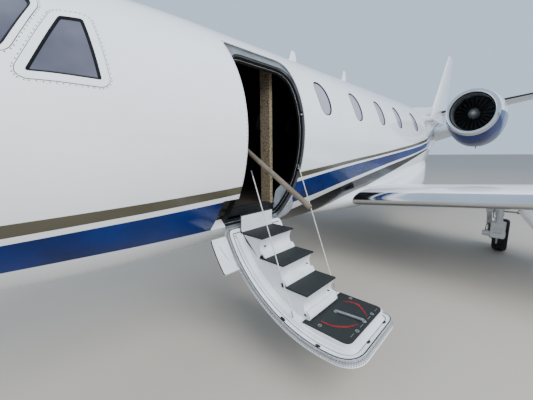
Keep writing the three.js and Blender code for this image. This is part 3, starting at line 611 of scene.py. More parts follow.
# The skin's cut round the doorway, which reaches higher than the door and leaves a recessed head
def surroundLoop(grow=0):
    f = fuselage
    x0, x1 = f["doorFrom"] - grow, f["doorTo"] + grow
    z0, z1 = f["sill"] - grow, f["surround"] + grow
    corners = [(x0, z0), (x1, z0), (x1, z1), (x0, z1)]
    return onPlane(dense(roundedLoop(corners, f["surroundCorners"]), 30))


windows = {
    "centres": [5144, 5907, 6670, 7432, 8362], "width": 232, "height": 345, "middle": 2257, "power": 0.8,
}


def windowLoop(centre, shrink, side, count=48):
    turns = circle(count)
    c, s = np.cos(turns), np.sin(turns)
    x = centre + (windows["width"] / 2 - shrink) * np.sign(c) * np.abs(c) ** windows["power"]
    z = windows["middle"] + (windows["height"] / 2 - shrink) * np.sign(s) * np.abs(s) ** windows["power"]
    return onPlane(np.column_stack([x, z]), side)


cockpitPanes = {
    "windshield": {"corners": [(2190, 3), (2748, 68.5), (2896, 51), (2700, 3)],
                   "radius": [30, 40, 32, 30], "frame": 26},
    "cockpit_window": {"corners": [(2812, 75), (3094, 77), (3078, 55.5), (2982, 55.5)],
                       "radius": [16, 10, 20, 16], "frame": 36},
}


def paneLoop(pane, grow, side):
    k = fuselage["perDegree"]
    corners = [(s, side * a * k) for s, a in cockpitPanes[pane]["corners"]]
    loop = dense(roundedLoop(corners, cockpitPanes[pane]["radius"], 6), 25)
    return grown(loop, grow)


def loopArea(loop):
    x, y = loop[:, 0], loop[:, 1]
    return 0.5 * np.sum(x * np.roll(y, -1) - y * np.roll(x, -1))


def grown(loop, amount):
    ahead = np.roll(loop, -1, 0) - np.roll(loop, 1, 0)
    out = np.column_stack([ahead[:, 1], -ahead[:, 0]]) * np.sign(loopArea(loop))
    out /= np.linalg.norm(out, axis=1, keepdims=True)
    return loop + out * amount


def inside(points, loop):
    x, y = points[:, 0][:, None], points[:, 1][:, None]
    x0, y0 = loop[:, 0][None], loop[:, 1][None]
    x1, y1 = np.roll(loop[:, 0], -1)[None], np.roll(loop[:, 1], -1)[None]
    crossing = (y0 > y) != (y1 > y)
    at = (x1 - x0) * (y - y0) / np.where(y1 == y0, 1, y1 - y0) + x0
    return np.sum(crossing & (x < at), axis=1) % 2 == 1


# Stripes: station, tan top and bottom, blue top and bottom, black top and bottom
stripes = {
    "rows": [
        (0, 1500, 1440, 1410, 1320, 900, 900), (1400, 1385, 1300, 1262, 1170, 900, 900),
        (2650, 1408, 1340, 1305, 1136, 800, 800), (4050, 1464, 1402, 1362, 1098, 800, 800),
        (4717, 1530, 1472, 1436, 1190, 1060, 860), (5200, 1572, 1524, 1492, 1258, 1172, 905),
        (5620, 1612, 1568, 1538, 1330, 1262, 943), (6900, 1722, 1682, 1655, 1510, 1465, 1265),
        (8600, 1900, 1846, 1818, 1716, 1684, 1630), (10400, 2215, 2165, 2135, 2065, 2035, 1990),
        (12500, 2560, 2520, 2496, 2440, 2416, 2380), (15700, 2700, 2690, 2685, 2675, 2668, 2660),
    ],
    "columns": {"tan": (0, 1), "blue": (2, 3), "black": (4, 5)},
    "blackFrom": 4250,
}
skinTones = ["whitePaint", "tanPaint", "bluePaint", "blackPaint", "lining", "greyMetal", "sealRubber"]


def stripeTone(station, z):
    heights = readTable(stripes["rows"], station)
    tone = np.zeros(len(station), int)
    for index, (key, (top, low)) in enumerate(stripes["columns"].items(), 1):
        band = (z < heights[:, top]) & (z > heights[:, low])
        if key == "black":
            band &= station > stripes["blackFrom"]
        tone[band] = index
    return tone


def stripeLines(s0, s1, side):
    lines = []
    s = np.arange(s0, s1 + 1, 40.0)
    s[-1] = s1
    heights = readTable(stripes["rows"], s)
    for key, columns in stripes["columns"].items():
        for column in columns:
            z = heights[:, column]
            lowest = readTable(fuselage["sections"], s)[:, 2] + 2
            keep = z > lowest
            if key == "black":
                keep &= s > stripes["blackFrom"]
            flat = onPlane(np.column_stack([s, z]), side)
            run = []
            for ok, spot in zip([*keep, False], [*flat, None]):
                if ok:
                    run.append(spot)
                    continue
                if len(run) > 1:
                    lines.append(np.array(run))
                run = []
    return lines


def cornerPoints(chunks):
    edges, points, base = [], [], 0
    for chunk, loop in chunks:
        count = len(chunk)
        points.append(chunk)
        edges += [(base + i, base + (i + 1) % count) for i in range(count if loop else count - 1)]
        base += count
    return (np.vstack(points) if points else np.zeros((0, 2))), edges


# The points of a grid that keep clear of every fixed point
def clearOf(grid, fixed, clear):
    keep = np.ones(len(grid), bool)
    for start in range(0, len(grid) if len(fixed) else 0, 2000):
        part = grid[start:start + 2000]
        gap = np.min(np.hypot(part[:, None, 0] - fixed[None, :, 0], part[:, None, 1] - fixed[None, :, 1]), 1)
        keep[start:start + 2000] = gap > clear
    return grid[keep]


# Triangles of a flat sheet with loops and lines worked into it
def triangles(grid, chunks, clear):
    fixed, edges = cornerPoints(chunks)
    points = np.vstack([fixed, clearOf(grid, fixed, clear)])
    found = delaunay_2d_cdt([Vector(p) for p in points], edges, [], 0, 1e-4)
    flat = np.array([tuple(v) for v in found[0]])
    return flat, np.array([tuple(f) for f in found[2]])


# A skin between two stations with holes, as a closed wall of the given thickness
def skinWall(name, s0, s1, wall, holes, holeTones, replaces, innerTone=4, step=70.0):
    k = fuselage["perDegree"]
    stations = np.linspace(s0, s1, max(2, int(round((s1 - s0) / step)) + 1))
    if s0 == 0:
        stations = np.unique(np.concatenate([[0, 6, 18, 36, 60, 90, 130], stations]))
    angles = np.linspace(-180, 180, 121)
    gridS, gridA = np.meshgrid(stations, angles, indexing="ij")
    edge = ((gridA == 180) | (gridA == -180) | (gridS == s0) | (gridS == s1)).ravel()
    grid = np.column_stack([gridS.ravel(), gridA.ravel() * k])
    chunks = [(loop, True) for loop in holes]
    chunks += [(line, False) for side in (-1, 1) for line in stripeLines(s0, s1, side)]
    inner = clearOf(grid[~edge], cornerPoints(chunks)[0], 9.0)
    flat, faces = triangles(np.vstack([grid[edge], inner]), chunks, 0.5)
    middle = flat[faces].mean(1)
    kept = np.ones(len(faces), bool)
    for loop in holes:
        kept &= ~inside(middle, loop)
    faces, middle = faces[kept], middle[kept]
    spots = skinAt(middle[:, 0], middle[:, 1] / k)
    tones = stripeTone(middle[:, 0], spots[:, 2])
    seam = {round(flat[i, 0], 3): i for i in np.where(np.isclose(flat[:, 1], -180 * k))[0]}
    swap = np.arange(len(flat))
    for i in np.where(np.isclose(flat[:, 1], 180 * k))[0]:
        swap[i] = seam.get(round(flat[i, 0], 3), i)
    faces = swap[faces]
    good = (faces[:, 0] != faces[:, 1]) & (faces[:, 1] != faces[:, 2]) & (faces[:, 0] != faces[:, 2])
    faces, tones = faces[good], tones[good]
    s, a = flat[:, 0], flat[:, 1] / k
    outer, normal = skinAt(s, a), skinNormal(s, a)
    across = np.cross(outer[faces[:, 1]] - outer[faces[:, 0]], outer[faces[:, 2]] - outer[faces[:, 0]])
    flip = np.sum(across * normal[faces[:, 0]], 1) < 0
    faces[flip] = faces[flip][:, ::-1]
    used = {}
    for f in faces:
        for i in range(3):
            used[(f[i], f[(i + 1) % 3])] = True
    rim = [(p, q) for p, q in used if (q, p) not in used]
    count = len(flat)
    allFaces = [tuple(f) for f in faces] + [tuple(int(i) + count for i in f[::-1]) for f in faces]
    allTones = list(tones) + [innerTone] * len(faces)
    for p, q in rim:
        spot = (flat[p] + flat[q]) / 2
        tone = 0
        for loop, loopTone in zip(holes, holeTones):
            if np.min(np.hypot(*(loop - spot).T)) < 30:
                tone = loopTone
        allFaces.append((q, p, p + count, q + count))
        allTones.append(tone)
    shape = Shape().add(np.vstack([outer, skinAt(s, a, wall)]), allFaces, allTones)
    loops = np.zeros((sum(len(f) for f in allFaces), 3))
    loops[:len(faces) * 3] = normal[faces.ravel()]
    return shape.make(name, skinTones, replaces=replaces, outward=False, normals=loops.tolist())


apron = {"forward": 3855, "aft": 4065, "lowAngle": 138.0, "highAngle": 120.5, "gap": 6}


def apronLoop(grow):
    k = fuselage["perDegree"]
    s0, s1 = apron["forward"] - grow, apron["aft"] + grow
    a0, a1 = -apron["lowAngle"] * k - grow, -apron["highAngle"] * k + grow
    corners = [(s0, a0), (s1, a0), (s1, a1), (s0, a1)]
    return dense(roundedLoop(corners, [22, 1, 1, 22], 5), 30)


breaks, joint = fuselage["breaks"], fuselage["joint"]
noseWell = {"from": 1270, "to": 2085, "half": 170, "top": 1330, "below": 600}
skinWall("radome_skin", breaks[0], breaks[1] - joint, 12, [], [], ("radome",), 4, 40)
noseSkin = skinWall("nose_skin", breaks[1] + joint, breaks[2] - joint, 14, [], [], ("nose_section",), 4, 60)
wellBlock = Shape().block((noseWell["from"], -noseWell["half"], noseWell["below"]),
                          (noseWell["to"], noseWell["half"], noseWell["top"]))
wellBlock = wellBlock.make("wellBlock", ["lining"], body=None)
carve(noseSkin, wellBlock)
bpy.data.objects.remove(wellBlock)
cabinHoles = [surroundLoop(), apronLoop(apron["gap"])]
cabinTones = [5, 0]
for side in (-1, 1):
    for centre in windows["centres"]:
        cabinHoles.append(windowLoop(centre, 0, side))
        cabinTones.append(6)
    for pane in cockpitPanes:
        cabinHoles.append(paneLoop(pane, 0, side))
        cabinTones.append(6)
skinWall("cabin_skin", breaks[2] + joint, breaks[3] - joint, fuselage["wall"], cabinHoles, cabinTones,
         ("cabin_shell",), 4, 80)
skinWall("tail_skin", breaks[3] + joint, breaks[4], 30, [], [], ("tail_section",), 4, 90)
print("fuselage made")


def fillLoop(loop, step=45.0):
    low, high = loop.min(0), loop.max(0)
    xs = np.arange(low[0] + step / 2, high[0], step)
    ys = np.arange(low[1] + step / 2, high[1], step)
    gx, gy = np.meshgrid(xs, ys, indexing="ij")
    grid = np.column_stack([gx.ravel(), gy.ravel()])
    return grid[inside(grid, loop)]


# Triangles that fill a loop, with lines worked into them
def fillFaces(loop, step, lines=()):
    flat, faces = triangles(fillLoop(loop, step), [(loop, True), *[(line, False) for line in lines]], 8.0)
    return flat, faces[inside(flat[faces].mean(1), loop)]


# A plate that lies along the skin inside a loop, between two depths
def plateOnSkin(shape, loop, front, back, tone=0, lines=(), toneOf=None, step=45.0, backTone=None):
    flat, faces = fillFaces(loop, step, lines)
    used = {(f[i], f[(i + 1) % 3]) for f in faces for i in range(3)}
    rim = [(p, q) for p, q in used if (q, p) not in used]
    count = len(flat)
    tones = [tone] * len(faces) if toneOf is None else [int(v) for v in toneOf(flat[faces].mean(1))]
    under = tone if backTone is None else backTone
    allFaces = [tuple(f) for f in faces] + [tuple(int(i) + count for i in f[::-1]) for f in faces]
    allFaces += [(q, p, p + count, q + count) for p, q in rim]
    shape.add(np.vstack([fromPlane(flat, front), fromPlane(flat, back)]), allFaces,
              tones + [under] * (len(faces) + len(rim)))


# A ring that follows a loop: rows are distance outside the loop and depth, round its section
def bandOnSkin(shape, loop, rows, tone=0):
    shape.rings([fromPlane(grown(loop, out), depth) for out, depth in rows], tone, loop=True)


def lineOnSkin(shape, line, radius, depth, tone):
    shape.tube(fromPlane(line, depth), radius, tone, 8, loop=True)


# Round fastener heads along a loop, which stand off the skin
def headsOnSkin(shape, loop, depth, reach, radius, stand):
    for place, behind in zip(fromPlane(loop, depth), fromPlane(loop, depth + reach)):
        out = (place - behind) / reach
        shape.bar(place - out, place + out * stand, radius, tone=3, sides=8)


# Doorway: recessed head, jamb wall, seal, catches and dotted fasteners
doorway = {
    "recess": 16, "middle": 4400, "headFrom": 2290, "sealOut": 5, "sealRadius": 4.5,
    "band": [(-0.3, 26), (-4.2, 28), (-4.2, 77), (-0.3, 79)], "line": (-4.2, 52, 0.9),
    "catches": [(4717, 2060), (4717, 1560), (4005, 2060)], "catchDepth": 24, "heads": (9, 31),
}


def makeDoorway(c):
    shape = Shape()
    high = surroundLoop()
    low = doorLoop(0)
    limit = angleAt(c["middle"], c["headFrom"]) * fuselage["perDegree"]
    upper = high[high[:, 1] > limit]
    inner = low[low[:, 1] > limit]
    inner = inner + (inner - inner.mean(0)) * -0.0006  # keeps the two lines from meeting
    crescent = np.vstack([upper, inner[::-1]])
    plateOnSkin(shape, crescent, c["recess"], fuselage["wall"] - 1, 0)
    seal = grown(low, c["sealOut"])
    shape.tube(fromPlane(seal[seal[:, 1] > limit], c["recess"]), c["sealRadius"], 1, 10)
    bandOnSkin(shape, low, c["band"], 1)
    out, depth, radius = c["line"]
    shape.tube(fromPlane(grown(low, out), depth), radius, 2, 6, loop=True)
    out, pitch = c["heads"]
    heads = dense(surroundLoop(out), pitch)
    heads = heads[~inside(heads, apronLoop(apron["gap"] + 6))]
    headsOnSkin(shape, heads, 0.2, 10, 3.0, 0.7)
    for station, z in c["catches"]:
        spot = fromPlane(onPlane([(station, z)]), c["catchDepth"])[0]
        side = 1 if station > c["middle"] else -1
        ends = sorted((-4 * side, 12 * side))
        shape.block(spot + (ends[0], -8, -26), spot + (ends[1], 8, 26), 1, 2)
        shape.bar(spot + (-4.6 * side, 0, 0), spot + (2 * side, 0, 0), 8, tone=2, sides=16)
    shape.make("doorway_surround", ["greyMetal", "sealRubber", "stepWhite", "darkMetal"])


makeDoorway(doorway)

# Cabin windows: gasket, pane and drawn shade
for side, sideName in bothSides:
    panes = Shape()
    for centre in windows["centres"]:
        loop = windowLoop(centre, 0, side)
        bandOnSkin(panes, loop, [(0, 40), (0.5, -0.8), (-3, -1.5), (-9, 2), (-12, 9), (-12, 40)], 1)
        plateOnSkin(panes, grown(loop, -10), 9, 16, 0)
    panes.make(f"cabin_windows_set_{sideName}", ["shade", "sealRubber"], slot="window_shade",
               replaces=[f"cabin_windows_{sideName}"])

# Cockpit glass with its gaskets, raised frames and a row of fasteners
paneTrim = {"pitch": 27, "headRadius": 3.2, "raised": 2.0}
for side, sideName in bothSides:
    trim = Shape()
    for pane in cockpitPanes:
        glass = Shape()
        plateOnSkin(glass, paneLoop(pane, -7, side), 7, 16, 0)
        glass.make(f"{pane}_glass_{sideName}", ["cockpitGlass"], slot="windshield",
                   replaces=[f"{pane}_{sideName}"])
        loop = paneLoop(pane, 0, side)
        bandOnSkin(trim, loop, [(0, 40), (0.5, -2.4), (-4, -2.6), (-10, 3), (-13, 10), (-13, 40)], 1)
        wide, top = cockpitPanes[pane]["frame"], -paneTrim["raised"]
        bandOnSkin(trim, loop, [(0.6, 3), (0.6, top), (wide, top), (wide + 1, 3)], 0)
        lineOnSkin(trim, grown(loop, wide + 1.5), 1.5, 0.4, 2)
        headsOnSkin(trim, dense(grown(loop, wide + 9), paneTrim["pitch"]), 0.0, 20.0, paneTrim["headRadius"], 0.6)
    trim.make(f"cockpit_frames_{sideName}", ["whitePaint", "sealRubber", "darkMetal", "greyMetal"])
print("windows made")

# Entry door: made closed, in line with the skin, then turned open about its sill
# Rows of the rim are distance outside the edge, depth and finish
doorParts = {
    "open": 111.0, "hingeY": -574.5,
    # the dark metal rows at 51 to 55 mm deep, where the grey rim steps down to the white band, are painted shade in
    # that corner
    "rim": [(0, 0, 0), (0, 7, 0), (-3, 9, 7), (-4, 12, 0), (-2, 15, 0), (-5, 20, 8), (-2, 26, 8), (-2, 46, 8),
            (-6, 51, 8), (-6, 55, 7), (-12, 55, 7), (-13, 52, 1), (-44, 54, 1), (-45, 52, 6), (-51, 52, 6),
            (-52, 55, 1), (-62, 60, 1), (-70, 79, 1), (-90, 80, 1)],
    "ovals": [(4034, 1870), (4036, 2195), (4262, 2433), (4550, 2431)],
}
doorTones = ["whitePaint", "stepWhite", "tanPaint", "bluePaint", "blackPaint", "greyMetal", "sealRubber",
             "darkMetal", "rimMetal"]
makePlainFinish("rimMetal", ("b9bcbe", "9fa3a6", 0.3, 0.5, 0.35, 0.2, 60, 300, 0.03))


def openDoor(points):
    turn = math.radians(doorParts["open"])
    y, z = points[:, 1] - doorParts["hingeY"], points[:, 2] - fuselage["sill"]
    return np.column_stack([
        points[:, 0],
        doorParts["hingeY"] + y * math.cos(turn) - z * math.sin(turn),
        fuselage["sill"] + y * math.sin(turn) + z * math.cos(turn),
    ])


def doorStripe(flat):
    spots = skinAt(flat[:, 0], flat[:, 1] / fuselage["perDegree"])
    return [(0, 2, 3, 4)[t] for t in stripeTone(flat[:, 0], spots[:, 2])]


def makeDoor(c):
    shape = Shape()
    edge = doorLoop(-6)
    rows = c["rim"]
    rings = [fromPlane(grown(edge, out), depth) for out, depth, _ in rows]
    for i in range(len(rows) - 1):
        shape.rings(rings[i:i + 2], rows[i + 1][2], caps=False)
    s0, s1 = edge[:, 0].min() - 30, edge[:, 0].max() + 30
    lines = [line[inside(line, edge)] for line in stripeLines(s0, s1, -1)]
    lines = [line for line in lines if len(line) > 1]
    flat, faces = fillFaces(edge, 40, lines)
    shape.add(fromPlane(flat, 0), faces, doorStripe(flat[faces].mean(1)))
    last = grown(edge, rows[-1][0])
    flat, faces = fillFaces(last, 40)
    shape.add(fromPlane(flat, rows[-1][1]), faces, 1)
    # dark and white marks alternate along the door's outer edge: a painted reflection on the edge
    hatch = dense(grown(edge, 0.5), 9)
    shape.tube(fromPlane(hatch, 11), 2.4, lambda r, i: 6 if r % 2 else 0, 6, loop=True)
    wall = dense(grown(edge, -2.4), 26)
    for place, behind in zip(fromPlane(wall, 34), fromPlane(wall - (wall - wall.mean(0)) * 0.01, 34)):
        out = (place - behind) / max(np.linalg.norm(place - behind), 1e-6)
        shape.bar(place - out * 2, place + out * 1.2, 3.2, tone=7, sides=8)
    for station, z in c["ovals"]:
        flat = onPlane([(station, z)])[0]
        near = np.argmin(np.hypot(*(edge - flat).T))
        ahead = edge[(near + 1) % len(edge)] - edge[near - 1]
        ahead /= np.linalg.norm(ahead)
        turns = circle(24)
        side = np.array([-ahead[1], ahead[0]])
        for size, depth, tone in (((21, 11), 50.5, 7), ((15, 6), 49.6, 6)):
            loop = flat + np.outer(np.cos(turns) * size[0], ahead) + np.outer(np.sin(turns) * size[1], side)
            shape.rings([fromPlane(loop, 56), fromPlane(loop, depth)], tone)
    return shape


doorShape = makeDoor(doorParts)
skinPlate = apronLoop(0)
apronStripes = [line[inside(line, skinPlate)] for line in stripeLines(3800, 4150, -1)]
plateOnSkin(doorShape, skinPlate, 1, 9, 0, [line for line in apronStripes if len(line) > 1], doorStripe,
            backTone=1)
lower = skinPlate[skinPlate[:, 0] < apron["forward"] + 8]
doorShape.tube(fromPlane(lower[np.argsort(lower[:, 1])] + (3, 0), 7), 4.5, 6, 10)
gusset = onPlane([(3912, 1150), (4006, 1118), (4006, 1240), (3950, 1262)])
plateOnSkin(doorShape, dense(gusset, 25), 10, 22, 1)
flange = onPlane([(3862, 1342), (4004, 1342), (4004, 1350), (3862, 1350)])
plateOnSkin(doorShape, dense(flange, 25), 9, 26, 1)
doorShape.moved(openDoor)
doorShape.make("entry_door_panel", doorTones, "entry_door", replaces=["entry_door"], smooth=30)


# Steps. Rows are the tread's height, the distance of its inner and outer edge from the centre
steps = {
    "treads": [(1028, 655, 921), (857, 885, 1145), (688, 1124, 1369)],
    "side": (4147.5, 4543), "innerEnd": -600, "mat": (494, 1352, 1722), "matSide": (4102, 4674),
    "platform": (4095, 4680), "cap": 15, "hollow": 24,
    "dots": [(4468, 1140, 770), (4440, 1370, 610), (4200, 900, 940)],
    "arcs": [[(4554, 1445), (4582, 1489), (4590, 1545), (4551, 1605), (4476, 1680)],
             [(4201, 1449), (4204, 1522), (4245, 1601), (4298, 1643), (4349, 1665)]],
    "handle": ((4380, 1471), (4404, 1686)), "rings": [(4641, 1465), (4151, 1471), (4536, 1690), (4271, 1695)],
    "dashes": [(4610, 1690), (4475, 1693), (4347, 1693), (4205, 1690)],
}


def panCurve(depth=52):
    angles = np.linspace(140.5, 52, 40)
    points = openDoor(skinAt(np.full(40, 4380.0), -angles, depth))
    return points[:, 1:]


def riserCurve(y, top, low, hollow):
    t = np.linspace(0, 1, 12)
    reach = y - 14 - hollow * np.sin(math.pi * np.clip(t * 1.15, 0, 1)) + 44 * t ** 7
    return np.column_stack([-reach, top + (low - top) * t])


def makeSteps(c):
    shape = Shape()
    profile = []
    rows = c["treads"] + [c["mat"]]
    for (z, inner, outer), (nextZ, _, _) in zip(rows, rows[1:]):
        profile.append((-inner + 20, z - c["cap"]))
        profile.extend(map(tuple, riserCurve(outer, z - c["cap"], nextZ - 12, c["hollow"])))
    profile.append((-c["mat"][2] - 4, c["mat"][0] - 14))
    pan = panCurve()
    keep = (pan[:, 0] > -c["mat"][2]) & (pan[:, 0] < c["innerEnd"])
    outline = np.vstack([profile, pan[keep][::-1]])
    shape.pushed(outline, *c["side"], tone=0)
    for z, inner, outer in c["treads"]:
        x0, x1 = c["side"][0] - 8, c["side"][1] + 8
        slab = roundedLoop([(-inner, z - c["cap"]), (-outer, z - c["cap"]), (-outer, z), (-inner, z)],
                           [0.5, 5, 5, 0.5], 5)
        shape.pushed(slab, x0, x1, tone=1)
    low, inner, outer = c["mat"]
    x0, x1 = c["platform"]
    base = roundedLoop([(x0, -inner + 30), (x0, -outer - 14), (x1, -outer - 14), (x1, -inner + 30)],
                       [1, 70, 70, 1], 8)
    shape.rings([np.column_stack([base, np.full(len(base), z)]) for z in (low - 70, low - 12, low - 8)], 0)
    x0, x1 = c["matSide"]
    mat = roundedLoop([(x0, -inner), (x0, -outer), (x1, -outer), (x1, -inner)], [2, 60, 60, 2], 8)
    shape.rings([np.column_stack([mat, np.full(len(mat), z)]) for z in (low - 9, low)], 2)
    riser = [(-668, 1020), (-666, 1034), (-664, 1062), (-664, 1100), (-665, 1140), (-666, 1176), (-657, 1178),
             (-656, 1140), (-656, 1100), (-656, 1062), (-657, 1020)]
    shape.pushed(riser, *c["side"], tone=0)
    shape.pushed([(-668, 1172), (-648, 1172), (-648, 1181), (-665, 1181)], *c["side"], tone=1)
    for z, _, outer in c["treads"]:
        ledge = [(-outer + 40, z - 172), (-outer - 26, z - 178), (-outer - 22, z - 160), (-outer + 2, z - 128)]
        shape.pushed(ledge, *c["side"], tone=0)
    for x, y, z in c["dots"]:
        shape.bar((x, -y + 12, z), (x, -y - 4, z), 6, tone=4, sides=14)
    for arc in c["arcs"]:
        line = readTable([(i, *p) for i, p in enumerate(arc)], np.linspace(0, 4, 40))
        line = np.column_stack([line[:, 0], -line[:, 1], np.full(40, low + 0.6)])
        ahead = np.gradient(line, axis=0)
        across = np.cross(ahead / np.linalg.norm(ahead, axis=1, keepdims=True), (0, 0, 1))
        wide = 9 * np.sin(np.linspace(0.35, math.pi - 0.15, 40))[:, None]
        ring = [np.vstack([line + across * wide + (0, 0, up), (line - across * wide + (0, 0, up))[::-1]])
                for up in (-1.5, 0.6)]
        shape.rings(ring, 3)
    (ax, ay), (bx, by) = c["handle"]
    shape.tube([(ax, -ay, low + 9), (ax, -ay - 14, low + 9), (bx, -by + 14, low + 9), (bx, -by, low + 9)],
               [9, 11, 11, 9], 5, 16)
    for x, y in ((ax, ay), (bx, by)):
        shape.turned([(0, 0), (0, 17), (5, 17), (9, 12), (9, 0)], (x, -y, low - 0.5), "z", 24, 5)
        shape.turned([(8, 0), (8, 5), (10.5, 4), (10.5, 0)], (x, -y, low), "z", 12, 4)
    for x, y in c["rings"]:
        shape.turned([(0, 8), (0, 15), (3, 14), (3.5, 10), (0, 8)], (x, -y, low), "z", 24, 5)
    for x, y in c["dashes"]:
        shape.block((x - 24, -y - 1.5, low - 1), (x + 24, -y + 1.5, low + 1), 5)
    return shape


makeTread("treadLong", treadSettings, 1)
makePlainFinish("matRed", ("8e1f24", "6d171b", 0.55, 0.7, 0.0, 0.0, 30, 300, 0.05))
makeSteps(steps).make("door_steps_set", ["stepWhite", "tread", "treadLong", "matRed", "sealRubber", "greyMetal"],
                      "entry_door", "step_tread", replaces=["door_steps"], smooth=30)

# Sill: mat on the floor's edge, ledge, and the panel that fills the doorway's aft lower corner
sill = {
    "mat": ((4100, 4690), (-538, -452), 1203), "ledge": (4030, 4700),
    "faces": [((-541, 1150), (-536, 1203)), ((-424, 1083), (-419, 1142))], "jambAt": (4718, 4722),
    "panel": [(4719, 1352), (4764, 1262), (4838, 1190), (4898, 1105), (4908, 1040), (4850, 985), (4760, 975),
              (4640, 1004), (4640, 1052), (4719, 1064)],
    "jamb": [(-795, 1345), (-700, 1190), (-600, 1056), (-520, 1090), (-528, 1198), (-560, 1330), (-640, 1400)],
}


def makeSill(c):
    shape = Shape()
    (x0, x1), (y0, y1), z = c["mat"]
    shape.block((x0, y0, z), (x1, y1, z + 9), 1, 3)
    for low, high in c["faces"]:
        shape.block((c["ledge"][0], *low), (c["ledge"][1], *high), 2, 1)
    loop = dense(onPlane(roundedLoop(c["panel"], 18, 5)), 24)
    plateOnSkin(shape, loop, -1.6, 6, 0)
    lineOnSkin(shape, loop, 2.2, -1.2, 3)
    for inset in (22, 46):
        seam = grown(loop, -inset)
        seam = seam[(seam[:, 0] > 4722) & (seam[:, 0] > seam[:, 0].mean() - 10)]
        shape.tube(fromPlane(seam, -1.4), 1.4, 3, 6)
    jamb = roundedLoop(c["jamb"], 20, 4)
    shape.pushed(jamb, *c["jambAt"], tone=0)
    for step in (0.35, 0.65):
        a = np.array((-640, 1390)) * (1 - step) + np.array((-780, 1330)) * step
        z0 = np.array((-530, 1110)) * (1 - step) + np.array((-605, 1064)) * step
        line = np.linspace(a, z0, 12)
        shape.tube(np.column_stack([np.full(12, 4717.5), line]), 1.4, 3, 6)
    shape.make("door_sill", ["jambGrey", "tread", "panelDark", "darkMetal"], slot="step_tread")


makePlainFinish("jambGrey", ("c3cdd6", "aab5bf", 0.3, 0.42, 0.0, 0.3, 8, 300, 0.02))
makeSill(sill)

# Stay cables and the handrail beside the steps
cables = {
    "door_cable_forward": [(4080, -868, 1580), (4080, -1285, 510)],
    "door_cable_aft": [(4690, -868, 1600), (4690, -1285, 510)],
}
for name, (top, low) in cables.items():
    cable = Shape()
    path = np.linspace(top, low, 60)
    cable.tube(path, 4.4, 0, 12)
    along = (path[-1] - path[0]) / np.linalg.norm(path[-1] - path[0])
    for spot, way in ((path[0], along), (path[-1], -along)):
        cable.bar(spot, spot + way * 46, 4.9, 4.7, 1, 16)
    item = cable.make(name + "_rope", ["cordWhite", "greyMetal"], body=None)
    ends = [[(x - 1000 * halfLength) / 1000, y / 1000, z / 1000] for x, y, z in (top, low)]
    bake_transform(item)
    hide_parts(name)

rail = {"pivot": (4105, -800, 1731), "end": (4105, -1406, 1350), "radius": 19}


def makeRail(c):
    shape = Shape()
    a, z = np.array(c["pivot"], float), np.array(c["end"], float)
    along = (z - a) / np.linalg.norm(z - a)
    path = [a, a + along * 20, z - along * 14, z - along * 5, z]
    shape.tube(path, [c["radius"]] * 3 + [c["radius"] - 2, c["radius"] - 8], 0, 32)
    shape.bar(a - (20, 0, 0), a + (19, 0, 0), 17, tone=1)
    return shape


makeRail(rail).make("handrail_tube", ["railTan", "darkMetal"], "door_handrail", "rail",
                    replaces=["door_handrail"])
print("door made")


# Wings, tail and control surfaces
def airfoil(thickness, camber, count=26):
    x = 0.5 * (1 - np.cos(np.linspace(0, math.pi, count + 1)))
    half = 5 * thickness * (0.2969 * np.sqrt(x) - 0.126 * x - 0.3516 * x ** 2 + 0.2843 * x ** 3
                            - 0.1015 * x ** 4)
    arch = camber * 4 * x * (1 - x)
    return np.vstack([np.column_stack([x, arch + half])[::-1], np.column_stack([x, arch - half])[1:]])


# Each control: name, inner and outer edge, hinge line along the chord, nose radius at both ends, droop
wing = {
    "rows": [(640, 6235, 9072, 0.105), (958, 6240, 9000, 0.105), (2600, 6250, 8640, 0.104),
             (5400, 6290, 8026, 0.102), (8260, 6340, 7400, 0.1), (8400, 6366, 7366, 0.096),
             (8480, 6395, 7330, 0.09), (8545, 6450, 7285, 0.075), (8585, 6520, 7230, 0.05)],
    "camber": 0.01, "incidence": math.tan(math.radians(2.4)),
    "dihedral": math.tan(math.radians(4.8)), "rootY": 958, "rootZ": 1065,
    "controls": [("flap", 1010, 4900, 0.8, 72, 46, 900, 0), ("aileron", 4930, 7900, 0.76, 53, 32, 900, 0)],
    "bright": 0.06,
}
tailplane = {
    "rows": [(0, 14350, 15750, 0.1), (300, 14395, 15744, 0.1), (3180, 14880, 15680, 0.09),
             (3240, 14935, 15672, 0.075), (3275, 14990, 15660, 0.045)],
    "camber": 0.0, "incidence": 0.0,
    "dihedral": math.tan(math.radians(8.8)), "rootY": 0, "rootZ": 3090,
    "controls": [("elevator", 300, 3120, 0.68, 44, 24, 700, 14)], "bright": 0.07,
}
fin = {
    "rows": [(2690, 12700, 15560, 0.085), (3100, 13390, 15610, 0.085), (3320, 13580, 15640, 0.09),
             (4510, 14590, 15850, 0.09), (5100, 15095, 15965, 0.09), (5190, 15200, 15990, 0.08),
             (5218, 15270, 15996, 0.062), (5230, 15400, 16000, 0.03)],
    "hingeAt": 0.7, "rudder": (3560, 5090, 54, 26, 1200),
}


def spanRing(plane, row, side):
    y, leading, trailing, ratio = row
    chord = trailing - leading
    section = airfoil(ratio, plane["camber"])
    height = plane["rootZ"] + (y - plane["rootY"]) * plane["dihedral"]
    rise = (section[:, 1] - section[:, 0] * plane["incidence"]) * chord
    return np.column_stack([leading + section[:, 0] * chord, np.full(len(section), side * y), height + rise])


def lineAt(rows, y, fraction):
    leading, trailing = readTable([r[:3] for r in rows], y)
    return leading + fraction * (trailing - leading)


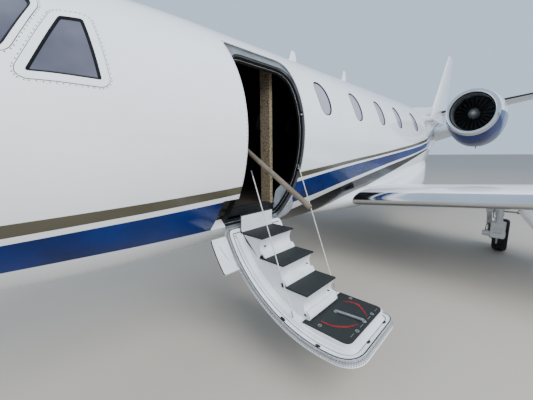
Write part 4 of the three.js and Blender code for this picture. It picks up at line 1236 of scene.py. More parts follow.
# A control surface's block with a round nose, to cut it from the whole and to cut its bay
def controlBlock(start, end, up, halfStart, halfEnd, chord, gap, clearance):
    start, end, up = (np.asarray(v, float) for v in (start, end, up))
    along = (end - start) / np.linalg.norm(end - start)
    aft = np.cross(along, up)
    aft /= np.linalg.norm(aft)
    if aft[0] < 0:
        aft = -aft
    normal = np.cross(aft, along)
    rings = []
    for base, half in ((start + along * gap, halfStart), (end - along * gap, halfEnd)):
        r = half + clearance
        edge = math.acos(min(1, gap / r))
        turns = np.linspace(edge, 2 * math.pi - edge, 33)
        arc = [(r * math.cos(t), r * math.sin(t)) for t in turns]
        flat = [(chord, 400), (gap, 400), *arc, (gap, -400), (chord, -400)]
        rings.append([base + aft * a + normal * n for a, n in flat])
    return Shape().rings(rings, 0)


def noseTone(count, bright, tone=1):
    x = 0.5 * (1 - np.cos(np.linspace(0, math.pi, count + 1)))
    nose = np.concatenate([x[::-1], x[1:]])
    return lambda r, i: tone if max(nose[i], nose[(i + 1) % len(nose)]) <= bright else 0


def splitControl(item, name, start, end, up, halves, chord, finishes, body, droop=0):
    moving = item.copy()
    moving.data = item.data.copy()
    moving.name = name
    bpy.context.scene.collection.objects.link(moving)
    tools = []
    for part, gap, clearance, operation in ((moving, 8, -2, "INTERSECT"), (item, 0, 6, "DIFFERENCE")):
        tool = controlBlock(start, end, up, *halves, chord, gap, clearance).make("tool", finishes, body=None)
        carve(part, tool, operation)
        tools.append(tool)
    for tool in tools:
        bpy.data.objects.remove(tool)
    moving.data.name = name
    a, z = (Vector((p[0] - 1000 * halfLength, p[1], p[2])) / 1000 for p in (start, end))
    axis = (z - a) if z.y > a.y else (a - z)
    place = Matrix.Translation(a)
    moving.data.transform(place @ Matrix.Rotation(math.radians(droop), 4, axis) @ place.inverted())
    finishPiece(moving, body, [body])


def makePlane(plane, name, side, finishes, nodeName):
    tone = noseTone(26, plane["bright"])
    rows = plane["rows"]
    item = Shape().rings([spanRing(plane, row, side) for row in rows], tone).make(name, finishes, body=None)
    sideName = "left" if side < 0 else "right"
    up = np.array([0, -side * plane["dihedral"], 1.0])
    up /= np.linalg.norm(up)
    for kind, inner, outer, share, h0, h1, chord, droop in plane["controls"]:
        spots = []
        for y in (inner, outer):
            x = lineAt(rows, y, share)
            depth = lineAt(rows, y, 1) - lineAt(rows, y, 0)
            arch = plane["camber"] * 4 * share * (1 - share) - plane["incidence"] * share
            z = plane["rootZ"] + (y - plane["rootY"]) * plane["dihedral"] + arch * depth
            spots.append((x, side * y, z))
        splitControl(item, f"{kind}_skin_{sideName}", *spots, up, (h0, h1), chord, finishes,
                     f"{kind}_{sideName}", droop)
    finishPiece(item, "airframe", nodeName)


for side, sideName in bothSides:
    makePlane(wing, f"wing_skin_{sideName}", side, ["whitePaint", "polished"], [f"wing_{sideName}"])
    makePlane(tailplane, f"tailplane_skin_{sideName}", side, ["whitePaint", "bootBlack"], ["tailplane"])


def finRing(row):
    z, leading, trailing, ratio = row
    chord = trailing - leading
    section = airfoil(ratio, 0)
    return np.column_stack([leading + section[:, 0] * chord, section[:, 1] * chord, np.full(len(section), z)])


def makeFin(c):
    shape = Shape().rings([finRing(row) for row in c["rows"]], 0)
    item = shape.make("fin_skin", ["whitePaint"], body=None)
    z0, z1, h0, h1, chord = c["rudder"]
    ends = [(lineAt(c["rows"], z, c["hingeAt"]), 0, z) for z in (z0, z1)]
    splitControl(item, "rudder_skin", *ends, (0, 1, 0), (h0, h1), chord, ["whitePaint"], "rudder")
    finishPiece(item, "airframe", ["fin"])
    dorsal = Shape()
    rings = []
    for z, leading, half in ((2750, 9776, 66), (2820, 10375, 58), (2900, 11058, 46), (3040, 12254, 36),
                             (3160, 13280, 28), (3190, 13536, 22)):
        x = np.linspace(0, 1, 14)
        body = half * np.sqrt(np.clip(1 - (1 - x) ** 2.2, 0, 1))
        along = leading + x * (14200 - leading)
        rings.append(np.vstack([np.column_stack([along, body, np.full(14, z)]),
                                np.column_stack([along, -body, np.full(14, z)])[::-1][:-1]]))
    dorsal.rings(rings, 0).make("dorsal_fillet", ["whitePaint"])


makeFin(fin)
print("wings and tail made")

# Aerials: station of the blade's root, length, height above the skin, sweep
aerials = {"blades": [(5600, 210, 235, 90), (7050, 190, 270, 90)]}


def makeAerials(c):
    shape = Shape()
    section = airfoil(0.1, 0)
    for station, length, height, sweep in c["blades"]:
        crown = skinAt(station, 0.0)[2]
        rings = []
        for share, chord in ((-0.05, 1.0), (0.7, 0.62), (0.95, 0.4), (1.0, 0.2)):
            up, back = height * share, max(share, 0)
            x = station + sweep * back + section[:, 0] * length * chord
            rings.append(np.column_stack([x, section[:, 1] * length * chord, np.full(len(x), crown + up)]))
        shape.rings(rings, 0)
    shape.make("aerials", ["whitePaint"])


makeAerials(aerials)

# Belly fairing: station, half width, bottom, top, power (1 is an ellipse, less is squarer)
belly = {
    "rows": [(5300, 200, 850, 960, 1), (5700, 420, 830, 1160, 1), (6100, 640, 806, 1300, 1),
             (6700, 820, 790, 1340, 1), (7600, 880, 785, 1380, 0.95), (8300, 925, 780, 1480, 0.8),
             (9000, 930, 795, 1640, 0.62), (9400, 868, 815, 1690, 0.6), (9800, 770, 860, 1680, 0.62),
             (10300, 560, 980, 1600, 0.75)],
}


def makeBelly(c):
    rings = []
    stations = np.linspace(5300, 10300, 64)
    turns = circle(72)
    cy, sy = np.cos(turns), np.sin(turns)
    for s, (half, bottom, top, power) in zip(stations, readTable(c["rows"], stations)):
        y = half * np.sign(cy) * np.abs(cy) ** power
        z = (top + bottom) / 2 + (top - bottom) / 2 * np.sign(sy) * np.abs(sy) ** power
        rings.append(np.column_stack([np.full(72, s), y, z]))
    return Shape().rings(rings, 0)


makeBelly(belly).make("belly_fairing_skin", ["whitePaint"], replaces=["belly_fairing"])

# Engines: cowl rows are distance aft of the lip and radius, and sag is how much deeper the lower half is
engines = {
    "centre": (10228, 1470, 2566), "lip": (14, 444, 29), "fanAt": 470,
    "outer": [(14, 472), (70, 494), (280, 530), (560, 558), (900, 572), (1600, 566), (2200, 504), (2760, 408)],
    "inner": [(14, 415), (90, 400), (300, 390), (900, 425), (2300, 425), (2760, 398)],
    "sag": [(0, 1), (70, 1.02), (280, 1.14), (560, 1.26), (900, 1.31), (1600, 1.31), (2200, 1.2), (2760, 1.06)],
    "pylon": [(540, 2139, 153), (1060, 2302, 162)], "pylonEnds": (10750, 12870),
    "brightTo": 105, "outerRows": 50, "lipRows": 10, "brightRows": 6, "seams": (430.0, 1560.0), "blades": 22,
    "core": [(2100, 0), (2100, 300), (2300, 300), (2600, 262), (2700, 235), (2704, 225), (2600, 205),
             (2500, 190), (2500, 0)],
    "cone": [(2480, 0), (2480, 150), (2700, 120), (2850, 60), (2900, 8), (2900, 0)],
}


def cowlProfile(c):
    a, mid, r = c["lip"]
    outer = np.concatenate([np.linspace(14, 105, 10), np.linspace(150, 2760, 40)])
    outerR = readTable(c["outer"], outer)[:, 0]
    turns = np.linspace(math.pi / 2, -math.pi / 2, 12)[1:-1]
    lip = [(a - a * math.cos(t), mid + r * math.sin(t)) for t in turns]
    inner = np.concatenate([np.linspace(14, 100, 8), np.linspace(150, 2760, 24)])
    innerR = readTable(c["inner"], inner)[:, 0]
    rows = list(zip(outer[::-1], outerR[::-1])) + lip + list(zip(inner, innerR))
    return rows + [rows[0]]


def makeEngine(c, side, sideName):
    centre = (c["centre"][0], side * c["centre"][1], c["centre"][2])
    profile = cowlProfile(c)
    segments = 96
    lipStart = c["outerRows"]
    lipEnd = lipStart + c["lipRows"]

    def cowlTone(r, i):
        along = profile[r][0]
        lower = math.sin(2 * math.pi * (i + 0.5) / segments) < -0.02
        if r >= lipEnd + c["brightRows"]:
            return 2
        if along <= c["brightTo"]:
            return 1
        if r >= lipStart:
            return 2
        return 3 if lower else 0

    def sagged(points):
        off = points - centre
        outerRows = np.arange(len(points)) < lipEnd * segments
        deeper = np.where((off[:, 2] < 0) & outerRows, readTable(c["sag"], off[:, 0])[:, 0], 1)
        return points * (1, 1, 0) + np.column_stack([off[:, :2] * 0, centre[2] + off[:, 2] * deeper])

    cowl = Shape().turned(profile, centre, "x", segments, cowlTone).moved(sagged)
    for along in c["seams"]:
        radius = float(readTable(c["outer"], along)[0]) - 0.6
        turns = circle(96)
        drop = np.where(np.sin(turns) < 0, readTable(c["sag"], along)[0], 1)
        ring = np.column_stack([np.full(96, centre[0] + along), centre[1] + radius * np.cos(turns),
                                centre[2] + radius * np.sin(turns) * drop])
        cowl.tube(ring, 2.2, 4, 6, loop=True)
    cowl.bar((centre[0] + 1400, centre[1], 1880), (centre[0] + 1440, centre[1], 1771), 13, 9, 4)
    cowl.make(f"nacelle_skin_{sideName}", ["whitePaint", "polished", "greyMetal", "bluePaint", "darkMetal"],
              replaces=[f"nacelle_{sideName}"])

    core = Shape().turned([(900, 0), (900, 424), (960, 424), (1040, 330), (2100, 300), (2100, 0)], centre, "x",
                          72, 0)
    core.turned(c["core"], centre, "x", 72, 1)
    core.turned(c["cone"], centre, "x", 48, 1)
    for i in range(40):
        turn = 2 * math.pi * i / 40
        blade = np.array([(760, 125, -2), (860, 125, 2), (870, 388, 3), (770, 388, -1)], float)
        ring = []
        for dx in (-2.5, 2.5):
            q = blade + (0, 0, dx)
            y = q[:, 1] * math.cos(turn) - q[:, 2] * math.sin(turn)
            z = q[:, 1] * math.sin(turn) + q[:, 2] * math.cos(turn)
            ring.append(np.column_stack([q[:, 0], y, z]) + centre)
        core.rings(ring, 2)
    core.turned([(700, 0), (700, 126), (905, 126), (905, 0)], centre, "x", 48, 2)
    core.make(f"engine_core_{sideName}", ["darkMetal", "hotMetal", "greyMetal"], slot="engine_metal",
              replaces=[f"engine_{sideName}"])

    hub = [(-190, 0), (-188, 12), (-176, 34), (-150, 58), (-100, 84), (-40, 108), (0, 120), (110, 122), (110, 0)]
    atFan = (centre[0] + c["fanAt"], centre[1], centre[2])
    fan = Shape().turned(hub, atFan, "x", 48, 1)
    for b in range(c["blades"]):
        turn = 2 * math.pi * b / c["blades"]
        rings = []
        for share in np.linspace(0, 1, 9):
            radius = 108 + share * (378 - 108)
            chord = 96 + 34 * math.sin(share * math.pi * 0.6)
            stagger = math.radians(28 + 34 * share)
            thick = 9 - 6 * share
            lean = 14 * math.sin(share * math.pi)
            u = circle(12)
            a = chord / 2 * np.cos(u)
            t = thick / 2 * np.sin(u) + 6 * (1 - (a / chord * 2) ** 2)
            x = 50 + a * math.cos(stagger) - t * math.sin(stagger)
            w = a * math.sin(stagger) + t * math.cos(stagger) + lean
            y = radius * math.cos(turn) - w * math.sin(turn)
            z = radius * math.sin(turn) + w * math.cos(turn)
            rings.append(np.column_stack([x, y, z]) + atFan)
        fan.rings(rings, 0)
    fan.make(f"fan_blades_{sideName}", ["darkMetal", "greyMetal"], f"fan_{sideName}", "engine_metal",
             replaces=[f"fan_{sideName}"])

    rings = []
    leading, trailing = c["pylonEnds"]
    for y, z, half in c["pylon"]:
        section = airfoil(2 * half / (trailing - leading), 0)
        rings.append(np.column_stack([leading + section[:, 0] * (trailing - leading),
                                      np.full(len(section), side * y), z + section[:, 1] * (trailing - leading)]))
    Shape().rings(rings, 0).make(f"pylon_skin_{sideName}", ["whitePaint"], replaces=[f"pylon_{sideName}"])


for side, sideName in bothSides:
    makeEngine(engines, side, sideName)
print("engines made")


# A rounded slab on a flat frame: the loop is in two directions from a corner, the third is its thickness
def slab(shape, loop, corner, first, second, thick, bevel=2.0, tone=0, pan=None):
    first, second = (np.asarray(v, float) / np.linalg.norm(v) for v in (first, second))
    third = np.cross(first, second)

    def place(flat, out):
        return np.asarray(corner, float) + np.outer(flat[:, 0], first) + np.outer(flat[:, 1], second) + out * third

    rings = [place(grown(loop, -bevel), 0), place(loop, bevel), place(loop, thick - bevel),
             place(grown(loop, -bevel), thick)]
    if pan:
        rings += [place(grown(loop, -pan[0]), thick), place(grown(loop, -pan[0] - 3), thick - pan[1])]
    return shape.rings(rings, tone)


def panelLoop(width, height, radius, low=(0, 0)):
    x, z = low
    return roundedLoop([(x, z), (x + width, z), (x + width, z + height), (x, z + height)], radius, 6)


# Wheels: each row of the tyre's side is a share of its half width and of its height above the rim
tyreSide = [(-0.7, 0), (-0.79, 0.02), (-0.9, 0.15), (-0.985, 0.38), (-1, 0.52), (-0.96, 0.69), (-0.88, 0.82),
            (-0.74, 0.91), (-0.56, 0.965)]
wheels = {
    "main_left": {"centre": (8684, -2270, 279.5), "half": 101.5, "rim": 160, "bolts": 10, "out": -1,
                  "grooves": (-44, -16, 16, 44), "body": "main_wheel_left"},
    "main_right": {"centre": (8684, 2270, 279.5), "half": 101.5, "rim": 160, "bolts": 10, "out": 1,
                   "grooves": (-44, -16, 16, 44), "body": "main_wheel_right"},
    "nose": {"centre": (2004, 0, 228.5), "half": 56, "rim": 122, "bolts": 8, "out": -1,
             "grooves": (-14, 14), "body": "nose_wheel"},
}


def makeWheel(name, c):
    centre, half, rim, out = c["centre"], c["half"], c["rim"], c["out"]
    radius = centre[2]
    flank = [(share * half, rim + rise * (radius - rim)) for share, rise in tyreSide]
    crown = [(-half * 0.42, radius - 0.6)]
    for at in c["grooves"]:
        crown += [(at - 3.5, radius - 0.4), (at - 2.5, radius - 6), (at + 2.5, radius - 6), (at + 3.5, radius - 0.4)]
    crown.append((half * 0.42, radius - 0.6))
    rows = flank + crown + [(-a, r) for a, r in flank[::-1]]
    tyre = Shape().turned(rows + [rows[0]], centre, "y", 96, 0)
    tyre.make(f"{name}_tyre_rubber", ["tyreRubber"], c["body"], "tyre", replaces=[f"{name}_tyre"], smooth=50)
    a = half * 0.7
    face = [(a, rim - 1), (a, rim - 9), (a - 4, rim - 12), (a * 0.72, rim - 26), (a * 0.6, rim - 34),
            (a * 0.58, 66), (a * 0.7, 60), (a * 0.94, 54), (a, 48), (a, 35)]
    rows = face + [(-p, r) for p, r in face[::-1]]
    rims = Shape().turned(rows + [rows[0]], centre, "y", 72, 0)
    for i in range(c["bolts"]):
        turn = 2 * math.pi * (i + 0.5) / c["bolts"]
        r = (66 + rim - 34) / 2
        spot = np.array(centre) + (r * math.cos(turn), 0, r * math.sin(turn))
        for sign in (-1, 1):
            rims.bar(spot + (0, sign * a * 0.5, 0), spot + (0, sign * (a * 0.58 + 5), 0), 8.5, tone=1, sides=12)
            rims.bar(spot + (0, sign * a * 0.55, 0), spot + (0, sign * (a * 0.58 + 11), 0), 5.5, tone=1, sides=6)
    rims.turned([(out * a * 0.8, 0), (out * a * 0.8, 34), (out * a * 0.96, 33), (out * a, 26), (out * a, 0)],
                centre, "y", 40, 1)
    item = rims.make(f"{name}_wheel_rim", ["gearPaint", "greyMetal"], body=None, smooth=32)
    finishPiece(item, c["body"], [f"{name}_wheel"])


for name, row in wheels.items():
    makeWheel(name, row)

# Main gear: strut, trailing arm, shock strut, brake and outer door
mainGear = {
    "strut": 2240, "arm": 2110, "knee": (8130, 405), "axle": (8684, 279.5),
    "door": {"top": (2455, 822), "low": (2784, 405), "from": 8064, "to": 8500, "thick": 44},
}


def makeMainGear(c, side, sideName):
    shape = Shape()
    y, arm = side * c["strut"], side * c["arm"]
    (kx, kz), (ax, az) = c["knee"], c["axle"]
    shape.bar((8060, y, 1150), (8105, y, 742), 50, 50, 0, 40)
    shape.bar((8105, y, 750), (8108, y, 716), 54, 54, 0, 40)
    shape.bar((8107, y, 722), (8126, y, 560), 46, 52, 0, 40)
    block = Shape().block((8070, y - 92, 350), (8190, y + 92, 610), 0, 12).make("block", ["gearPaint"], body=None)
    cut = Shape().block((8050, y - 50, 430), (8095, y + 50, 520), 0, 9).make("cut", ["gearPaint"], body=None)
    carve(block, cut)
    bpy.data.objects.remove(cut)
    finishPiece(block, "airframe")
    block.name = f"main_leg_block_{sideName}"
    shape.bar((8120, y, 360), (8120, y, 258), 13, tone=1)
    shape.turned([(-7, 8), (-7, 21), (7, 21), (7, 8), (-7, 8)], (8120, y, 272), "y", 28, 1)
    shape.bar((kx, side * 2052, kz), (kx, side * 2338, kz), 43, tone=0, sides=36)
    for at in (2050, 2340):
        shape.bar((kx, side * at - 5 * np.sign(side) * (1 if at > 2200 else -1), kz), (kx, side * at, kz), 30,
                  tone=1, sides=6)
    shape.tube([(kx, arm, kz), (kx + 190, arm, kz - 50), (kx + 380, arm, kz - 88), (ax, arm, az)],
               [44, 38, 36, 42], 0, 32)
    shape.bar((ax, side * 2067, az), (ax, side * 2334, az), 30, tone=1, sides=32)
    shape.bar((ax, side * 2064, az), (ax, side * 2156, az), 58, 55, 0, 40)
    low, top = np.array((ax - 90, arm, az + 60)), np.array((8110, arm, 790))
    shape.bar(low, low + (top - low) * 0.5, 22, tone=2, sides=28)
    shape.bar(low + (top - low) * 0.42, top, 35, 36, 0, 32)
    shape.bar(low + (top - low) * 0.4, low + (top - low) * 0.44, 38, tone=1, sides=32)
    shape.bar((ax - 90, arm - 40, az + 60), (ax - 90, arm + 40, az + 60), 20, tone=1, sides=20)
    shape.bar((8105, side * 2070, 790), (8105, side * 2250, 790), 36, tone=0, sides=32)
    shape.bar((8110, y, 786), (8110, side * 2438, 786), 13, tone=1, sides=20)
    for at, r in ((2156, 96), (2164, 104), (2172, 98), (2180, 104), (2188, 98), (2196, 104)):
        shape.turned([(-3.4, 34), (-3.4, r), (3.4, r), (3.4, 34), (-3.4, 34)], (ax, side * at, az), "y", 56, 1)
    for i in range(5):
        turn = 2 * math.pi * i / 5 + 0.3
        spot = np.array((ax + 74 * math.cos(turn), side * 2152, az + 74 * math.sin(turn)))
        shape.bar(spot + (0, side * -32, 0), spot + (0, side * 6, 0), 15, tone=1, sides=20)
    hose = [(8066, y + 40, 1080), (8046, y + 62, 900), (8060, y + 74, 700), (8120, y + 30, 640),
            (8190, arm + 20, 520), (8300, arm + 30, 420), (8450, arm + 34, 372), (8600, arm + 30, 352),
            (8640, arm + side * 20, 330)]
    t = np.linspace(0, len(hose) - 1, 70)
    line = readTable([(i, *p) for i, p in enumerate(hose)], t)
    shape.tube(line, 5.5, 3, 10)
    for at in (14, 30, 46, 58):
        shape.bar(line[at] - (line[at + 1] - line[at]), line[at + 1], 8.5, tone=1, sides=10)
    shape.make(f"main_leg_set_{sideName}", ["gearPaint", "greyMetal", "polished", "sealRubber"],
               slot="gear_paint", replaces=[f"main_leg_{sideName}"], smooth=32)

    d = c["door"]
    (y0, z0), (y1, z1) = d["low"], d["top"]
    corner = np.array((d["from"], side * y0, z0), float)
    rise = np.array((0, side * (y1 - y0), z1 - z0), float)
    length = float(np.linalg.norm(rise))
    inward = np.cross((1, 0, 0), rise / length)
    loop = panelLoop(d["to"] - d["from"], length, [60, 60, 14, 14])
    if inward[1] * side < 0:
        door = slab(Shape(), loop, corner - inward * d["thick"] / 2, (1, 0, 0), rise, d["thick"], 5, 0, (26, 22))
    else:
        mirrored = np.column_stack([loop[:, 0], length - loop[:, 1]])
        door = slab(Shape(), mirrored, corner + rise + inward * d["thick"] / 2, (1, 0, 0), -rise, d["thick"], 5,
                    0, (26, 22))
    door.bar((8085, side * 2455, 815), (8085, side * 2455, 1110), 12, tone=1)
    door.bar((8074, side * 2455, 830), (8096, side * 2455, 830), 19, tone=1)
    door.bar((8110, side * 2434, 786), (8110, side * 2462, 786), 22, tone=1)
    door.make(f"main_gear_door_panel_{sideName}", ["whitePaint", "greyMetal"],
              replaces=[f"main_gear_door_{sideName}"])


for side, sideName in bothSides:
    makeMainGear(mainGear, side, sideName)

# Nose gear: leg, fork, well lining and doors
noseGear = {"station": 2004, "collar": 720, "axle": 228.5, "half": 78}


def makeNoseGear(c):
    s, half = c["station"], c["half"]
    leg = Shape().bar((s, 0, c["collar"]), (s, 0, 1300), 45, 47, 0, 40)
    leg.bar((s, 0, c["collar"] + 0.5), (s, 0, c["collar"] + 40), 48, tone=1, sides=40)
    leg.bar((s, 0, 900), (s - 420, 0, 1250), 22, tone=0, sides=28)
    leg.bar((s - 200, -26, 1067), (s - 200, 26, 1067), 30, tone=1, sides=28)
    leg.bar((s - 60, -168, 1290), (s - 60, 168, 1290), 28, tone=1, sides=28)
    leg.bar((s - 60, -20, 1290), (s, 0, 1288), 26, tone=0)
    leg.bar((s - 48, 0, 826), (s - 84, 0, 826), 40, 44, 1, 36)
    leg.bar((s - 84, 0, 826), (s - 90, 0, 826), 38, 36, 2, 36)
    leg.tube(readTable([(0, s + 30, 38, 1240), (1, s + 36, 46, 1000), (2, s + 18, 52, 800), (3, s + 6, 50, 735)],
                       np.linspace(0, 3, 30)), 5, 3, 10)
    leg.make("nose_leg_set", ["gearPaint", "greyMetal", "lampGlass", "sealRubber"], slot="gear_paint",
             replaces=["nose_leg"], smooth=32)
    fork = Shape().bar((s, 0, 500), (s, 0, c["collar"] - 1), 33, tone=1, sides=36)
    fork.bar((s, 0, 700), (s, 0, c["collar"] - 1), 37, tone=0, sides=36)
    fork.block((s - 45, -half - 12, 478), (s + 45, half + 12, 520), 0, 10)
    for side in (-1, 1):
        arm = roundedLoop([(s - 34, 190), (s + 34, 190), (s + 30, 500), (s - 30, 500)], [33, 33, 6, 6], 8)
        ring = [np.column_stack([arm[:, 0], np.full(len(arm), side * y), arm[:, 1]]) for y in (67, 69, 87, 90)]
        centre = np.array((s, 0, 345.0))
        ring[0] = centre + (ring[0] - centre) * (0.95, 1, 0.98)
        ring[3] = centre + (ring[3] - centre) * (0.92, 1, 0.97)
        fork.rings(ring, 0)
        fork.bar((s, side * 88, c["axle"]), (s, side * 117, c["axle"]), 27, 25, 1, 6)
    fork.bar((s, -116, c["axle"]), (s, 116, c["axle"]), 24, tone=1, sides=28)
    fork.block((s - 45, -14, 520), (s - 33, 14, 690), 1, 3)
    fork.make("nose_fork_set", ["gearPaint", "greyMetal"], "nose_steering", "gear_paint", replaces=["nose_fork"],
              smooth=32)
    s0, s1, wide, top = (noseWell[key] for key in ("from", "to", "half", "top"))
    for side, sideName in bothSides:
        door = Shape()
        rings = []
        for x, low in ((s0 + 60, 760), (s0 + 66, 756), (s0 + 400, 712), (s1 - 46, 664), (s1 - 40, 668)):
            edge = 2 if x in (s0 + 60, s1 - 40) else 0
            y = side * (wide + 8)
            ring = [(x, y, 985), (x, y + side * (10 - edge), 985), (x, y + side * (60 - edge), low + edge),
                    (x, y + side * (56 - edge), low + edge), (x, y + side * (51 + edge), low + edge + 2)]
            rings.append(ring)
        door.rings(rings, 0)
        for x in (s0 + 180, s1 - 160):
            door.bar((x, side * (wide + 4), 985), (x, side * (wide + 4), 1010), 7, tone=1)
            door.block((x - 14, min(side * (wide + 2), side * (wide + 10)), 900),
                       (x + 14, max(side * (wide + 2), side * (wide + 10)), 990), 1, 2)
        door.make(f"nose_gear_door_panel_{sideName}", ["whitePaint", "greyMetal"],
                  replaces=[f"nose_gear_door_{sideName}"])
    lining = Shape()
    loop = [(s0 + 1, -wide + 1), (s1 - 1, -wide + 1), (s1 - 1, wide - 1), (s0 + 1, wide - 1)]
    outer = [np.column_stack([np.array(loop), np.full(4, z)]) for z in (1010, top)]
    inset = [np.column_stack([np.array(grown(np.array(loop), -9)), np.full(4, z)]) for z in (top - 9, 1010)]
    lining.rings([outer[1], outer[0], inset[1], inset[0]], 0)
    for x in np.arange(s0 + 120, s1 - 60, 135):
        lining.block((x - 5, -wide + 12, top - 40), (x + 5, wide - 12, top - 8), 0, 2)
    lining.make("nose_well_lining", ["gearPaint"])


makeNoseGear(noseGear)
print("landing gear made")

# Cabin: finishes of the floor, partition, divider, cabinet and panel, and what is fixed to them
cabinFinishes = {"cabin_floor": "carpet", "cockpit_partition": "wood", "galley_cabinet": "wood",
                 "entry_divider": "cloth", "instrument_panel": "panelDark"}
for name, key in cabinFinishes.items():
    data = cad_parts[name].data
    data.materials.clear()
    data.materials.append(finish[key])
cabin = {"aisle": 414, "cabinet": (4051, 4771), "rows": [(1230, 1520), (1530, 1820), (1830, 2120), (2130, 2420)]}


def makeCabin(c):
    fronts = Shape()
    x0, x1 = c["cabinet"]
    for low, high in c["rows"]:
        for i in range(2):
            wide = (x1 - x0) / 2 - 14
            start = x0 + 8 + i * ((x1 - x0) / 2 - 2)
            slab(fronts, panelLoop(wide, high - low, 10), (start, 419, low), (1, 0, 0), (0, 0, 1), 9, 2, 0)
            fronts.bar((start + wide / 2 - 40, 404, high - 30), (start + wide / 2 + 40, 404, high - 30), 4, tone=1)
            for at in (-36, 36):
                fronts.bar((start + wide / 2 + at, 412, high - 30), (start + wide / 2 + at, 404, high - 30), 3,
                           tone=1, sides=8)
    fronts.make("galley_fronts", ["wood", "greyMetal"], slot="wood")
    dials = Shape()
    for y in (-430, 0, 430):
        loop = panelLoop(270, 210, 14, (-135, 0))
        face = np.array((2422, y, 1790), float)
        slab(dials, loop, face, (0, 1, 0), (0.05, 0, 1), 9, 2, 0)
        slab(dials, panelLoop(236, 176, 8, (-118, 17)), face + (8, 0, 0), (0, 1, 0), (0.05, 0, 1), 2.5, 0.8, 1)
        for k in range(6):
            spot = np.array((2430, y - 110 + 44 * k, 1772), float)
            dials.bar(spot - (6, 0, 0), spot + (8, 0, 0), 7, 6, 2, 14)
    for y in (-380, 380):
        dials.bar((2430, y, 1690), (2640, y, 1740), 17, tone=2, sides=20)
        turns = np.linspace(-0.6, math.pi + 0.6, 28)
        ring = np.column_stack([2650 + 0 * turns, y + 150 * np.cos(turns), 1840 - 118 * np.sin(turns)])
        dials.tube(ring, 13, 2, 14)
        dials.bar((2640, y - 40, 1738), (2650, y + 40, 1738), 20, tone=2, sides=16)
    dials.make("instrument_faces", ["panelDark", "blackPaint", "darkMetal"], slot="dark_panel")


makeCabin(cabin)

# Crew seats: a pad is a crowned form that is swollen as cloth
seatRows = {"pilot_seat": -380, "copilot_seat": 380}
padShares = (-1, -0.93, -0.6, 0.0, 0.6, 0.93, 1)
pads = {
    "cushion": {"size": (400, 410, 110), "centre": (3180, 0, 1530), "tilt": -3, "cap": 0.012},
    "back": {"size": (540, 410, 92), "centre": (3440, 0, 1880), "tilt": -77, "cap": 0.012},
}


def makePad(name, c, y):
    length, width, thick = c["size"]
    rings = []
    for share in padShares:
        inset = 26 * abs(share) ** 3
        loop = panelLoop(length - 2 * inset, width - 2 * inset, 70, (-length / 2 + inset, -width / 2 + inset))
        rings.append(dense(loop, 30))
    shortest = min(len(r) for r in rings)
    flat = []
    for share, ring in zip(padShares, rings):
        pick = np.linspace(0, len(ring), shortest, endpoint=False).astype(int)
        flat.append(np.column_stack([ring[pick], np.full(shortest, share * thick / 2)]))
    turn = math.radians(c["tilt"])

    def placed(points):
        x, across, z = points.T
        tilted = np.column_stack([x * math.cos(turn) + z * math.sin(turn), across,
                                  -x * math.sin(turn) + z * math.cos(turn)])
        return tilted + (c["centre"][0], y, c["centre"][2])

    item = Shape().rings(flat, 0).moved(placed).make(name, ["leather"], body=None, smooth=180)
    start = item.modifiers.new("remesh", "REMESH")
    start.mode = "VOXEL"
    start.voxel_size = 0.006
    bake(item)
    before = np.array([v.co for v in item.data.vertices])
    cloth = item.modifiers.new("cloth", "CLOTH")
    cloth.settings.use_pressure = True
    cloth.settings.uniform_pressure_force = 4
    cloth.settings.effector_weights.gravity = 0
    for step in range(1, 21):
        bpy.context.scene.frame_set(step)
    bake(item)
    move = np.array([v.co for v in item.data.vertices]) - before
    size = np.linalg.norm(move, axis=1, keepdims=True)
    kept = before + move * np.minimum(1, c["cap"] / np.maximum(size, 1e-9))
    item.data.vertices.foreach_set("co", kept.ravel())
    bpy.context.scene.frame_set(1)
    item.data.polygons.foreach_set("use_smooth", [True] * len(item.data.polygons))
    return item


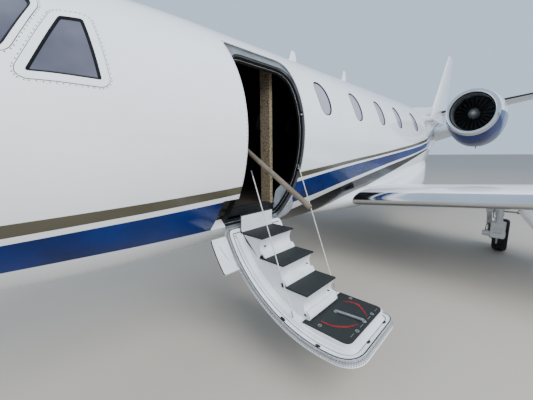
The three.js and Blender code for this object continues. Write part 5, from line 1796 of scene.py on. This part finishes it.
def makeSeat(name, y):
    base = Shape().block((3080, y - 118, 1203), (3380, y + 118, 1232), 1, 6)
    base.block((3130, y - 70, 1230), (3330, y + 70, 1462), 0, 12)
    base.block((2990, y - 205, 1446), (3400, y + 205, 1472), 0, 8)
    for sign in (-1, 1):
        arm = [(3330, y + sign * 205, 1470), (3420, y + sign * 205, 1600), (3500, y + sign * 205, 1960),
               (3530, y + sign * 205, 2100)]
        base.tube(arm, 12, 1, 16)
    base.make(f"{name}_frame", ["panelDark", "darkMetal"], slot="leather", replaces=[name])
    for part, row in pads.items():
        item = makePad(f"{name}_{part}", row, y)
        finishPiece(item, "airframe")


for name, y in seatRows.items():
    makeSeat(name, y)
print("cabin made")

# Floor and soft light
stage = {"size": 160.0, "floor": "aea89e", "patches": "a8a298", "sky": "b9cbe2", "strength": 1.3,
         "lamps": [("keyLight", (-6, -14, 14), 14, 5200), ("fillLight", (-16, 4, 9), 10, 1500)]}


def makeStage(c):
    f = Finish("floor", {"Roughness": 0.75})
    f.fill(f.shader, {"Base Color": f.mix(f.noise(0.6, 4.0), tint(c["floor"]), tint(c["patches"]))})
    mesh = bpy.data.meshes.new("floor")
    s = c["size"]
    mesh.from_pydata([(-s, -s, 0), (s, -s, 0), (s, s, 0), (-s, s, 0)], [], [(0, 1, 2, 3)])
    mesh.materials.append(f.material)
    floor = bpy.data.objects.new("floor", mesh)
    bpy.context.scene.collection.objects.link(floor)
    world = bpy.data.worlds.new("world")
    bpy.context.scene.world = world
    world.use_nodes = True
    background = world.node_tree.nodes["Background"]
    background.inputs["Color"].default_value = tint(c["sky"])
    background.inputs["Strength"].default_value = c["strength"]
    for name, spot, size, power in c["lamps"]:
        lamp = bpy.data.lights.new(name, "AREA")
        lamp.size = size
        lamp.energy = power
        item = bpy.data.objects.new(name, lamp)
        bpy.context.scene.collection.objects.link(item)
        item.location = spot
        item.visible_glossy = False  # the sky alone is mirrored in the paint
        item.rotation_euler = (Vector((0, 0, 1)) - Vector(spot)).to_track_quat("-Z", "Y").to_euler()


makeStage(stage)
